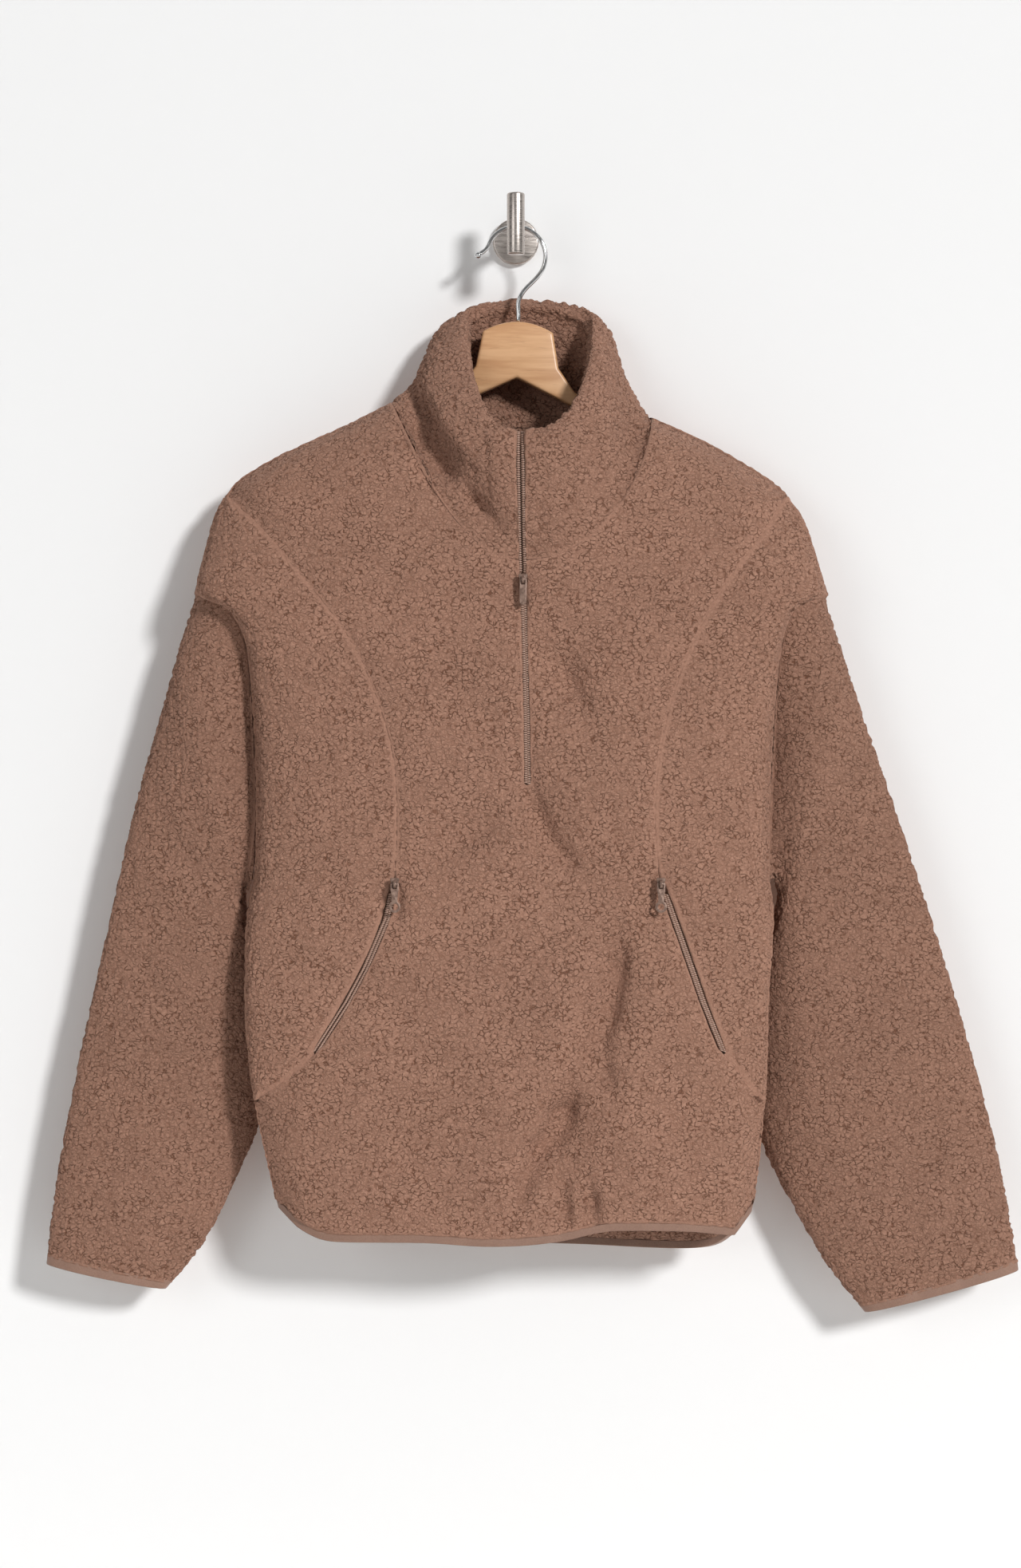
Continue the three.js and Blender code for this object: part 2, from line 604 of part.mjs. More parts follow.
// Sleeve ring: angle 0 at the outer edge, 180 at the inner edge, the front half first.
function sleeveRing(row, angle) {
  const [cos, sin] = [raise(Math.cos(angle), 2 / SLEEVE_SQUARE), raise(Math.sin(angle), 2 / SLEEVE_SQUARE)];
  const t = (1 + cos) / 2;
  const edge = lerp(row.innerOut, row.outerOut, t);
  const face = sin > 0 ? row.front : row.back;
  const out = edge + (face - edge) * Math.abs(sin);
  return place(lerp(row.innerX, row.outerX, t), out, lerp(row.innerDrop, row.outerDrop, t));
}

const SLEEVE_COUNT = 2 * (ARMHOLE.length - 1);

// Points from the armhole to past the cuff, one curve for each point of the armhole.
function sleeveCurves(side) {
  const half = SLEEVE_COUNT / 2;
  const rings = SLEEVES[side];
  return Array.from({ length: SLEEVE_COUNT }, (_, k) => {
    const branch = k <= half ? 'front' : 'back';
    const drop = ARMHOLE[k <= half ? k : SLEEVE_COUNT - k];
    const start = bodyPoint(branch, EDGE[side], drop, k % half === 0 ? 0 : SEAM);
    const angle = (2 * Math.PI * k) / SLEEVE_COUNT;
    return new THREE.CatmullRomCurve3([start, ...rings.map((row) => sleeveRing(row, angle))]);
  });
}

function sleeve(side) {
  const curves = sleeveCurves(side);
  const points = spread(0, 1, SLEEVE_ROWS + 1).map((t) => curves.map((curve) => curve.getPoint(t)));
  const clear = new THREE.Vector3(EDGE[side] * ARM_CLEAR, 0, 0);
  points[0] = points[0].map((point, k) => {
    return point.clone().addScaledVector(curves[k].getTangent(0), TURN_GAP).add(clear);
  });
  const ordered = side === 'left' ? points : points.map((row) => row.slice().reverse());
  const rows = pairs(ordered, () => WALL, true);
  const inward = ordered[1].map((point, k) => point.clone().sub(ordered[0][k]).normalize());
  rows[0].forEach((pair, k) => pair.inner.addScaledVector(inward[k], BEVEL));
  const wall = new Wall();
  wall.grid(rows, { closed: true });
  return wall.geometry();
}

function cuffBinding(side) {
  const curves = sleeveCurves(side);
  const steps = [BINDING_GAP, BINDING / 2, BINDING];
  const points = steps.map((step) => curves.map((curve) => {
    return curve.getPoint(1).addScaledVector(curve.getTangent(1), step);
  }));
  const ordered = side === 'left' ? points : points.map((row) => row.slice().reverse());
  const wall = new Wall();
  wall.grid(pairs(ordered, () => BINDING_WALL, true, BINDING_INSET), { closed: true });
  return wall.geometry();
}

function hemBinding() {
  const frontX = (side) => {
    const sideX = valueAt(BODY, side, 'drop', hemEdge('front', EDGE[side]));
    return spread(0, 1, HALF_COLUMNS + 1).map((t) => lerp(sideX, ZIP_BOTTOM_X, t));
  };
  const front = [...frontX('left'), ...frontX('right').reverse().slice(1)];
  const back = spread(1, -1, BACK_COLUMNS + 1).slice(1, -1);
  const layer = [BINDING_INSET, BINDING_INSET + BINDING_WALL];
  const rows = [-HEM_BINDING, -HEM_BINDING / 2, 0].map((above) => [
    ...front.map((x) => {
      const drop = hemDrop('front', uAt(x, HEM)) + above;
      return bodyPair('front', uAt(x, drop), drop, ...layer);
    }),
    ...back.map((u) => bodyPair('back', u, hemDrop('back', u) + above, ...layer)),
  ]);
  const wall = new Wall();
  wall.grid(rows, { closed: true });
  return wall.geometry();
}

// Collar ring by the angle round it, as on the neckline.
function collarRing(row, turn) {
  const side = turn <= 180 ? 'left' : 'right';
  const power = 2 / COLLAR_SQUARE;
  const sin = Math.abs(Math.sin(degToRad(turn))) ** power;
  const cos = Math.abs(Math.cos(degToRad(turn))) ** power;
  const fall = Math.abs(Math.cos(degToRad(turn))) ** row[`${side}Power`];
  const isBack = turn > 90 && turn < 270;
  const from = isBack ? NECK.backX : zipEdge(side, row.frontDrop);
  const sideDrop = row[`${side}Drop`];
  return place(
    lerp(from, row[side], sin),
    lerp(row.sideOut, isBack ? row.back : row.front, cos),
    lerp(sideDrop, isBack ? row.backDrop : row.frontDrop, isBack ? cos : fall),
  );
}

const COLLAR_TURNS = [
  ...spread(0, 90, HALF_COLUMNS + 1),
  ...spread(90, 270, BACK_COLUMNS + 1).slice(1),
  ...spread(270, 360, HALF_COLUMNS + 1).slice(1),
];

// One curve up the collar for each point of the neckline.
function collarCurve(turn) {
  const seam = neckline(turn);
  const rings = COLLAR.map((row) => collarRing(row, turn));
  return new THREE.CatmullRomCurve3([bodyPoint(seam.side, seam.u, seam.drop, 0), ...rings]);
}

function collarPoints() {
  const folds = COLLAR_FOLDS.map((fold) => ({
    x0: fold.turn0 * COLLAR_TURN_SIZE,
    drop0: fold.rise0 * COLLAR_RISE_SIZE,
    x1: fold.turn1 * COLLAR_TURN_SIZE,
    drop1: fold.rise1 * COLLAR_RISE_SIZE,
    width: fold.width,
    depth: fold.depth,
  }));
  const curves = COLLAR_TURNS.map(collarCurve);
  const rises = spread(0, 1, COLLAR_ROWS + 1);
  const plain = rises.map((rise) => curves.map((curve) => curve.getPoint(rise)));
  const gap = (curve) => curve.getTangent(0).multiplyScalar(TURN_GAP);
  plain[0] = plain[0].map((point, c) => point.clone().add(gap(curves[c])));
  return pairs(plain, () => 1, false).map((row, r) => row.map(({ outer, inner }, c) => {
    const at = { x: COLLAR_TURNS[c] * COLLAR_TURN_SIZE, drop: rises[r] * COLLAR_RISE_SIZE };
    const depth = r === 0 ? 0 : foldDepth(folds, at.x, at.drop);
    return outer.clone().addScaledVector(inner.clone().sub(outer), depth);
  }));
}

function collar() {
  const points = collarPoints();
  const thick = (r) => lerp(WALL, COLLAR_WALL, smoothstep(r / COLLAR_ROWS, ...COLLAR_GROW));
  const rows = pairs(points, thick, false);
  rows[0].forEach((pair, c) => {
    const { side, u, drop } = neckline(COLLAR_TURNS[c]);
    const upward = points[1][c].clone().sub(points[0][c]).normalize();
    pair.inner = pair.outer.clone().addScaledVector(bodyNormal(side, u, drop), -WALL);
    pair.inner.addScaledVector(upward, BEVEL);
  });
  for (const pair of rows.flatMap((row) => [row[0], row.at(-1)])) {
    pair.inner.x = pair.outer.x;
    pair.outer.addScaledVector(pair.inner.clone().sub(pair.outer).normalize(), PRESS);
  }
  const wall = new Wall();
  wall.grid(rows);
  return wall.geometry();
}

// Half of the front zip's tape: in the collar's gap, then behind the front's cut edge.
function frontTape(side) {
  const depth = WALL + TAPE_GAP;
  const toward = -EDGE[side];
  const edgeColumn = side === 'left' ? 0 : COLLAR_TURNS.length - 1;
  const inCollar = collarPoints().reverse().map((row) => row[edgeColumn]).map((edge) => {
    const middle = zipX(-edge.z) - toward * SEAM;
    return [edge.x + toward * SEAM, edge.x + toward * SEAM, middle].map((x) => {
      const outer = new THREE.Vector3(x, edge.y + depth, edge.z);
      return { outer, inner: outer.clone().add(new THREE.Vector3(0, TAPE, 0)) };
    });
  });
  const start = NECK.frontDrop + TAPE_MARGIN;
  const inFront = spread(start, ZIP_BOTTOM + TAPE_MARGIN, TAPE_ROWS + 1).map((drop) => {
    const edge = zipX(drop) - toward * (ZIP_GAP / 2);
    const places = [edge - toward * TAPE_MARGIN, edge + toward * SEAM, zipX(drop) - toward * SEAM];
    return places.map((x) => bodyPair('front', uAt(x, drop), drop, depth, depth + TAPE));
  });
  const wall = new Wall();
  wall.grid([...inCollar, ...inFront]);
  return wall.geometry();
}

// Pocket zip's tape behind the open stretch of the panel seam.
function pocketTape(side) {
  const depth = WALL + TAPE_GAP;
  const half = POCKET_GAP / 2 + TAPE_MARGIN / 2;
  const rows = spread(POCKET_TOP - POCKET_LAP, POCKET_BOTTOM + POCKET_LAP, TAPE_ROWS + 1).map((drop) => {
    const x = valueAt(PANEL_SEAM, side, 'drop', drop);
    return spread(-half, half, 4).map((away) => {
      return bodyPair('front', uAt(x + away, drop), drop, depth, depth + TAPE);
    });
  });
  const wall = new Wall();
  wall.grid(rows);
  return wall.geometry();
}

// Solids joined by manifold, from and to three.js geometry.
function toManifold(geometry) {
  const corners = geometry.getAttribute('position');
  const order = Array.from({ length: corners.count }, (_, i) => i);
  const index = geometry.index ? geometry.index.array : order;
  const mesh = new wasm.Mesh({
    numProp: 3,
    vertProperties: new Float32Array(corners.array),
    triVerts: new Uint32Array(index),
  });
  mesh.merge();
  return new wasm.Manifold(mesh);
}

function fuse(...geometries) {
  const mesh = wasm.Manifold.union(geometries.map(toManifold)).getMesh();
  const geometry = new THREE.BufferGeometry();
  geometry.setAttribute('position', new THREE.BufferAttribute(mesh.vertProperties, 3));
  geometry.setIndex(new THREE.BufferAttribute(mesh.triVerts, 1));
  geometry.computeVertexNormals();
  return geometry;
}

// Outline drawn in x and z, given a thickness along y and centred on y = 0.
function plate(shape, thick, { edge = 0, curveSegments = 8 } = {}) {
  const geometry = new THREE.ExtrudeGeometry(shape, {
    depth: thick - 2 * edge,
    bevelEnabled: edge > 0,
    bevelThickness: edge,
    bevelSize: edge,
    bevelOffset: -edge,
    bevelSegments: 1,
    curveSegments,
  });
  geometry.translate(0, 0, -thick / 2 + edge);
  geometry.rotateX(Math.PI / 2);
  return geometry;
}

// The shoulder line the hanger's arm lies under, as a symmetric line in the hanger's own frame.
function armTop(x) {
  const tilt = Math.tan(degToRad(HANGER_TILT));
  const lineDrop = (side) => {
    const shoulder = BODY.filter((row) => row.drop <= ARM_TOP);
    const rows = shoulder.map((row) => ({ x: Math.abs(row[side]), drop: row.drop }));
    const reach = Math.abs(HANGER_X + EDGE[side] * x);
    return valueAt(rows, 'drop', 'x', reach) - EDGE[side] * x * tilt;
  };
  const slope = Math.cos(Math.atan(SHOULDER_SLOPE));
  return Math.max(lineDrop('left'), lineDrop('right')) + (WALL + HANGER_REST) / slope;
}

function hangerBody() {
  const tipTop = armTop(HANGER_HALF - HANGER_EDGE);
  const tipBottom = HANGER_NOTCH + HANGER_HALF * HANGER_UNDERSIDE_SLOPE;
  const arm = ARM_PLACES.map((x) => ({ x, drop: armTop(x) }));
  const rightSide = [...NECK_BLOCK, ...arm, { x: HANGER_HALF - HANGER_EDGE, drop: tipTop }];
  const line = rightSide.map(({ x, drop }) => new THREE.Vector2(x, -drop));
  const shape = new THREE.Shape();
  shape.moveTo(0, -HANGER_NOTCH);
  shape.lineTo(HANGER_HALF, -tipBottom);
  line.slice().reverse().forEach((point) => shape.lineTo(point.x, point.y));
  shape.quadraticCurveTo(NECK_BLOCK[0].x / 2, -HANGER_TOP, 0, -HANGER_TOP);
  shape.quadraticCurveTo(-NECK_BLOCK[0].x / 2, -HANGER_TOP, -line[0].x, line[0].y);
  line.slice(1).forEach((point) => shape.lineTo(-point.x, point.y));
  shape.lineTo(-HANGER_HALF, -tipBottom);
  shape.closePath();
  const geometry = plate(shape, HANGER_THICK, { edge: HANGER_EDGE, curveSegments: 6 });
  geometry.translate(0, 0, HANGER_TOP);
  geometry.rotateY(degToRad(HANGER_TILT));
  geometry.translate(HANGER_X, -HANGER_OUT, -HANGER_TOP);
  return geometry;
}

// Wire hook: a loop over the stem, a bend back to the middle and a straight shank down to the wood.
function hangerHook() {
  const centre = STEM_RADIUS + SEAM + WIRE - WIRE_LOOP;
  const loop = spread(WIRE_TURN.from, WIRE_TURN.to, WIRE_TURN.points).map((turn) => {
    const angle = degToRad(turn);
    return new THREE.Vector3(WIRE_LOOP * Math.cos(angle), -HANGER_OUT, centre + WIRE_LOOP * Math.sin(angle));
  });
  const tip = place(-WIRE_LOOP - WIRE_FLARE.x, HANGER_OUT, -centre - WIRE_FLARE.raise);
  const shank = [...WIRE_SHANK, HANGER_TOP - SEAM].map((drop) => place(HANGER_X, HANGER_OUT, drop));
  const bend = place(HANGER_X + WIRE_BEND.x, HANGER_OUT, WIRE_BEND.drop);
  const path = new THREE.CatmullRomCurve3([tip, ...loop, bend, ...shank]);
  const section = new THREE.Shape();
  section.absarc(0, 0, WIRE, 0, 2 * Math.PI);
  const wire = new THREE.ExtrudeGeometry(section, { steps: WIRE_STEPS, extrudePath: path, curveSegments: 4 });
  const bead = new THREE.SphereGeometry(WIRE_TIP, 10, 8);
  bead.translate(tip.x, tip.y, tip.z);
  return fuse(wire, bead);
}

function wallPlate() {
  const [front, rim] = [PLATE - STEEL_EDGE, PLATE_RADIUS - STEEL_EDGE];
  const round = [[0, 0], [PLATE_RADIUS, 0], [PLATE_RADIUS, front], [rim, PLATE], [0, PLATE]];
  const geometry = new THREE.LatheGeometry(round.map(([r, out]) => new THREE.Vector2(r, out)), ROUND);
  geometry.rotateX(Math.PI);
  return geometry;
}

function wallStem() {
  const from = PLATE + SEAM;
  const to = BAR_OUT - BAR_RADIUS - SEAM;
  const geometry = new THREE.CylinderGeometry(STEM_RADIUS, STEM_RADIUS, to - from, ROUND);
  geometry.translate(0, -(from + to) / 2, 0);
  return geometry;
}

function wallBar() {
  const [top, rim] = [BAR_LENGTH - STEEL_EDGE, BAR_RADIUS - STEEL_EDGE];
  const lower = [[0, 0], [rim, 0], [BAR_RADIUS, STEEL_EDGE]];
  const round = [...lower, [BAR_RADIUS, top], [rim, BAR_LENGTH], [0, BAR_LENGTH]];
  const geometry = new THREE.LatheGeometry(round.map(([r, along]) => new THREE.Vector2(r, along)), ROUND);
  geometry.rotateX(Math.PI / 2);
  geometry.translate(0, -BAR_OUT, BAR_RAISE - BAR_LENGTH / 2);
  return geometry;
}

// Where a slider sits: on the cloth's outside, over its zip, and how far below it the tape lies.
function sliderSeat(name) {
  const drop = name === 'front' ? SLIDER_DROP : POCKET_TOP + SLIDER.height / 2;
  const x = name === 'front' ? zipX(drop) : valueAt(PANEL_SEAM, name, 'drop', drop);
  const steps = spread(-1, 1, 5);
  const near = steps.flatMap((i) => steps.map((j) => [i * SLIDER.width, j * SLIDER.height]));
  const outOf = (dx, dd) => -bodyPoint('front', uAt(x + dx, drop + dd), drop + dd).y;
  const highest = Math.max(...near.map(([dx, dd]) => outOf(dx, dd)));
  const seat = place(x, highest + SLIDER.lift, drop);
  return { seat, depth: highest + SLIDER.lift - outOf(0, 0) + WALL + TAPE_GAP };
}

// Slider: a waisted block with a keel down to the tape and a staple that holds the pull tab.
function slider({ seat, depth }) {
  const [w, h] = [SLIDER.width / 2, SLIDER.height / 2];
  const { foot, middle, corner } = SLIDER_WAIST;
  const shape = new THREE.Shape();
  shape.moveTo(-foot, -h);
  shape.lineTo(foot, -h);
  shape.quadraticCurveTo(middle, 0, w, h - corner);
  shape.quadraticCurveTo(w, h, w - corner, h);
  shape.lineTo(-w + corner, h);
  shape.quadraticCurveTo(-w, h, -w, h - corner);
  shape.quadraticCurveTo(-middle, 0, -foot, -h);
  const body = plate(shape, SLIDER.depth, { edge: SLIDER.edge, curveSegments: 4 });
  body.translate(0, -SLIDER.depth / 2, 0);
  const reach = depth - KEEL.clear;
  const keel = new THREE.BoxGeometry(KEEL.width, reach + KEEL.root, KEEL.height);
  keel.translate(0, (reach - KEEL.root) / 2, -KEEL.low);
  const outer = STAPLE.inside + STAPLE.leg;
  const bow = new THREE.Shape();
  bow.moveTo(-STAPLE.root, -outer);
  bow.lineTo(STAPLE.axis, -outer);
  bow.absarc(STAPLE.axis, 0, outer, -Math.PI / 2, Math.PI / 2, false);
  bow.lineTo(-STAPLE.root, outer);
  bow.lineTo(-STAPLE.root, STAPLE.inside);
  bow.lineTo(STAPLE.axis, STAPLE.inside);
  bow.absarc(STAPLE.axis, 0, STAPLE.inside, Math.PI / 2, -Math.PI / 2, true);
  bow.lineTo(-STAPLE.root, -STAPLE.inside);
  bow.closePath();
  const staple = new THREE.ExtrudeGeometry(bow, { depth: STAPLE.width, bevelEnabled: false, curveSegments: 6 });
  staple.translate(0, 0, -STAPLE.width / 2);
  staple.rotateX(Math.PI / 2);
  staple.rotateZ(-Math.PI / 2);
  staple.translate(0, -SLIDER.depth, 0);
  const geometry = fuse(body, keel, staple);
  geometry.translate(seat.x, seat.y, seat.z);
  return geometry;
}

// Pull tab: hangs from the staple by the bar above its window. Pocket tabs end in a ring.
function pullTab({ seat }, ringed) {
  const shape = new THREE.Shape();
  const top = TAB.bar;
  if (ringed) {
    const start = Math.asin(TAB.waist / TAB_RING.outer);
    shape.moveTo(-TAB.top, top);
    shape.lineTo(-TAB.top, -TAB.fork);
    shape.quadraticCurveTo(-TAB.waist, -TAB.neck, -TAB.waist, -TAB.length + TAB_RING.outer * Math.cos(start));
    shape.absarc(0, -TAB.length, TAB_RING.outer, Math.PI / 2 + start, Math.PI / 2 - start + 2 * Math.PI, false);
    shape.quadraticCurveTo(TAB.waist, -TAB.neck, TAB.top, -TAB.fork);
    shape.lineTo(TAB.top, top);
    const eye = new THREE.Path();
    eye.absarc(0, -TAB.length, TAB_RING.inner, 0, 2 * Math.PI, true);
    shape.holes.push(eye);
  } else {
    const w = PLAIN_TAB.width / 2;
    shape.moveTo(-w, top);
    shape.lineTo(-w, -PLAIN_TAB.length + w);
    shape.absarc(0, -PLAIN_TAB.length + w, w, Math.PI, 2 * Math.PI, false);
    shape.lineTo(w, top);
  }
  shape.closePath();
  const side = TAB_WINDOW.width / 2;
  const hole = new THREE.Path();
  hole.moveTo(-side, -TAB.bar);
  hole.lineTo(side, -TAB.bar);
  hole.lineTo(side, -TAB_WINDOW.end);
  hole.lineTo(-side, -TAB_WINDOW.end);
  hole.closePath();
  shape.holes.push(hole);
  const geometry = plate(shape, TAB.thick, { curveSegments: 8 });
  geometry.translate(seat.x, seat.y - SLIDER.depth - STAPLE.axis, seat.z);
  return geometry;
}

const group = new THREE.Group();
function add(name, geometry, material) {
  const mesh = new THREE.Mesh(geometry, MATERIALS[material]);
  mesh.name = name;
  group.add(mesh);
}

add('front_centre', frontCentre(), 'sherpa');
add('back', backPanel(), 'sherpa');
add('collar', collar(), 'sherpa');
add('hem_binding', hemBinding(), 'binding');
for (const side of ['left', 'right']) {
  add(`front_side_${side}`, frontSide(side), 'sherpa');
  add(`sleeve_${side}`, sleeve(side), 'sherpa');
  add(`cuff_binding_${side}`, cuffBinding(side), 'binding');
  add(`front_zip_tape_${side}`, frontTape(side), 'tape');
  add(`pocket_tape_${side}`, pocketTape(side), 'tape');
  add(`pocket_slider_${side}`, slider(sliderSeat(side)), 'zip_metal');
  add(`pocket_pull_${side}`, pullTab(sliderSeat(side), true), 'zip_metal');
}
add('front_slider', slider(sliderSeat('front')), 'zip_metal');
add('front_pull', pullTab(sliderSeat('front'), false), 'zip_metal');
add('hanger_body', hangerBody(), 'wood');
add('hanger_hook', hangerHook(), 'chrome');
add('wall_plate', wallPlate(), 'steel');
add('wall_stem', wallStem(), 'steel');
add('wall_bar', wallBar(), 'steel');

export default group;
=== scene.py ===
import math

import bmesh
import bpy
from mathutils import Matrix, Vector
from mathutils.bvhtree import BVHTree
from mathutils.kdtree import KDTree


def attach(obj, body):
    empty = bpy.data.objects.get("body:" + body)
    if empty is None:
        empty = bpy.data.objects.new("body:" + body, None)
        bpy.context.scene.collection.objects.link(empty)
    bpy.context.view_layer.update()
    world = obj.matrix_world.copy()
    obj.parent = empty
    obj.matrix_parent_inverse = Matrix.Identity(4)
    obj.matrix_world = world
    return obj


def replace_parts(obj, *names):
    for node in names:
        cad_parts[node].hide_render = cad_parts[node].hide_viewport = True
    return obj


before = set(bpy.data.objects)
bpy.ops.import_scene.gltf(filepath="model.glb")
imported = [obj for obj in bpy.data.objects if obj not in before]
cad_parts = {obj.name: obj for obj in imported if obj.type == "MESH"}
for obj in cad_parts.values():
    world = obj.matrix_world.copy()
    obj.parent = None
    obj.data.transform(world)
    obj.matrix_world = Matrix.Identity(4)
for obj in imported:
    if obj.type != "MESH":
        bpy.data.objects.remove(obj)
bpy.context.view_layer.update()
MM = 0.001
BODY = "garment"
SIDES = ("left", "right")

# Camera, straight on to the wall
EYE = (-4.06 * MM, -2600 * MM, -423.6 * MM)
FOCAL_PIXELS = 4165.6
PHOTO_HEIGHT = 1965
SENSOR = 36.0

# Pile of the sherpa: sizes and depths in metres
CLUMP, SMALL_CLUMP = 4.0 * MM, 2.4 * MM
CLUMP_FLATTEN = 1.4
WARP_SIZE, WARP_REACH = 5 * MM, 2.4 * MM
BREAK_SIZE = 14 * MM
STROKE_SIZE = 3 * MM
CURL_SIZE = 1.4 * MM
SHADE_SIZE = 45 * MM
PILE_DEPTH = 0.6 * MM
LUMP_SIZE = 4.5 * MM
LUMP_DEPTH, SIDE_LUMP_DEPTH, SEAM_LUMP_DEPTH = 0.8 * MM, 2.4 * MM, 0.9 * MM
SEAM_FLAT = (3.5 * MM, 7 * MM)

# How the pile's patterns ease: from one value to another, then what they give at both, where it isn't 0 and 1
BREAK_OPENS = (0.33, 0.55, 0.5, 1.0)
STROKE_OPENS = (0.4, 0.58)
CRACK_FADES = (0.0, 0.15, 1.0, 0.0)
SMALL_CRACK_FADES = (0.0, 0.2, 0.45, 0.0)
SMALL_CRACK_OPENS = (0.4, 0.6, 0.8, 0.5)
CLUMP_ROUND = (0.0, 0.3)
SHADE_RANGE = (0.3, 0.7, 0.97, 1.03)
CURL_RANGE = (0.3, 0.7, 0.9, 1.08)
LUMP_SINKS = (0.35, 0.7)
SIDE_TURN = (0.25, 0.8)

# Shares of the pile's looks and relief
# The first share darkens the pile's cracks with painted shade; the second tints the flat seam strips
CRACK_SHADE, SEAM_TINT = 0.92, 0.45
SEAM_CRACKS, SEAM_RELIEF = 0.2, 0.15
CRACK_RELIEF, CLOSED_RELIEF, INSIDE_PILE = 0.8, 0.45, 0.5
CLUMP_RISE, CURL_RISE = 0.5, 0.3
# Painted shade: the share of their pile's colour that the sleeves and collar keep
SLEEVE_PAINTED_SHADE, COLLAR_PAINTED_SHADE = 0.88, 0.95

# Sewn edges, the collar's roll and the sleeves' groove, in metres; the groove's drops are in millimetres
SEAM_TOUCH, SLEEVE_TUCK = 0.9 * MM, 2.6 * MM
ROLL_SWELL, ROLL_REACH = 2.2 * MM, 18 * MM
GROOVE_DEPTH, GROOVE_REACH = 4 * MM, 16 * MM
GROOVE_DROP = (330, 410, 590, 670)
SIDE_NARROW, PANEL_NARROW = 1.4, 3.0  # how many times narrower than SEAM_FLAT the flat strips are

# Thickness of the solids' walls, in millimetres; the search for a wall's other side goes twice as far
PANEL_WALL, COLLAR_WALL = 6, 10

# Corners of the shoulders that the pile rounds, in millimetres: place, then the move to the side and down
SOFT_CORNERS = [
    (-226, 202, 1.6, 1.6),
    (214, 204, -1.6, 1.6),
    (-249.5, 278, 1.8, -0.6),
]
CORNER_REACH = 9

# Creases, in millimetres: both ends, how far the line bows, how far it reaches and how deep it is
CREASES = {
    "front": [
        (-80, 148, -48, 200, 4, 9, 12.0),
        (-46, 188, -13, 230, -2, 6, 8.0),
        (-34, 150, -22, 196, 3, 9, 3.0),
        (58, 130, 66, 196, -4, 10, 4.0),
        (17, 316, 54, 386, 5, 10, 4.5),
        (36, 318, 62, 352, -4, 9, 2.0),
        (11, 428, 48, 490, -6, 8, 7.0),
        (16, 434, 27, 476, 2, 6, 2.0),
        (-2, 434, -74, 488, 5, 10, 3.0),
        (79, 536, 63, 620, 4, 8, 8.0),
        (64, 612, 75, 660, -3, 8, 5.0),
        (42, 650, 29, 698, 2, 8, 9.0),
        (32, 684, 4, 738, -4, 8, 9.0),
        (35, 720, 38, 756, 1, 6, 7.0),
        (55, 722, 58, 756, 1, 6, 7.0),
        (-96, 690, -40, 722, 5, 13, 2.0),
        (120, 664, 140, 722, -5, 13, 2.2),
        (-60, 330, -18, 372, -6, 15, 2.0),
        (-90.5, 500, -90.5, 528, 0, 9, 3.0),
        (108.5, 500, 108.5, 528, 0, 9, 3.0),
        (-150, 470, -122, 545, 5, 13, 2.2),
        (148, 420, 172, 500, -6, 13, 2.0),
        (-280, 430, -232, 498, -7, 14, 2.6),
        (-316, 560, -250, 604, 6, 15, 2.6),
        (-330, 700, -276, 742, 5, 13, 2.2),
        (262, 404, 220, 470, 7, 14, 3.0),
        (314, 556, 246, 612, -6, 15, 3.0),
        (340, 690, 290, 752, -6, 13, 2.6),
        (372, 740, 322, 778, 4, 11, 2.0),
    ],
    "back": [
        (-150, 300, -84, 372, 8, 12, 2.2),
        (146, 306, 82, 378, -8, 12, 2.2),
        (-40, 430, 30, 470, 6, 14, 1.8),
        (-110, 560, -70, 650, 6, 11, 2.2),
        (60, 590, 92, 690, -6, 11, 2.4),
        (-14, 640, 2, 742, 4, 9, 2.2),
        (-282, 440, -236, 505, -7, 13, 1.8),
        (-320, 590, -262, 640, 6, 13, 1.8),
        (266, 420, 224, 486, 7, 13, 1.8),
        (324, 600, 258, 660, -6, 13, 1.8),
    ],
}
FACING = {"front": Vector((0, -1, 0)), "back": Vector((0, 1, 0))}
CREASE_GAIN, CREASE_START = 2, 0.2  # a crease fades out as the cloth turns away from its side
CREASE_PAD = 3  # times its reach
STEEP_SIDE, GENTLE_SIDE = 0.75, 1.5  # widths of a crease's two sides, times its reach
CREASE_END = 0.25  # depth at a crease's ends, as a share of its middle
CREASE_WAVE, CREASE_WAVES = 0.2, 11  # how much a crease's depth wavers, and how fast along it

# Half zip and pocket zips: drop below the origin and sideways place, in millimetres
ZIP_TOP, ZIP_BOTTOM = 158, 425
ZIP_TOP_X, ZIP_BOTTOM_X = 3.4, 8.6
SLIDER_DROP = 270
POCKET_ROUTE = {
    "left": [(494, -90.5), (525, -97), (562, -113), (588, -127), (627, -152)],
    "right": [(494, 108), (525, 119), (562, 132), (588, 141), (627, 157)],
}
TOOTH_PITCH = 1.7
TOOTH = (3.3, 2.2, 1.35)  # across, out and along the zip, for a ball of TOOTH_RADIUS
TOOTH_LIFT = 2.6
TOOTH_RADIUS = 0.62
TOOTH_SHIFT, OPEN_SHIFT = 1.2, 1.9
TOOTH_OVERHANG = 0.4  # times its shift
TOOTH_STAGGER = 0.25  # times the pitch
COIL_TOP = 160
SLIDER_REACH = 7  # no teeth this near the slider
SLOPE_STEP = 1
POCKET_TOP, POCKET_BOTTOM = 506, 625
POCKET_SIDE = 16  # a cut edge this near the zip is at the pocket's mouth
IN_FRONT = 300  # where rays to the tape start

# Copies of the solids: distances in metres, turns between faces in radians
MERGE_REACH = 0.01 * MM
RAY_LIFT = 0.05 * MM
PANEL_JOIN_TURN, JOIN_TURN, JOIN_SHAPE = 1.0, 0.7, 1.6
FLAT_TURN, EDGE_TURN, SHADING_TURN = 0.03, 0.6, 0.75
CORNER_TURN = -0.8  # cosine
PANEL_LEVELS = 2
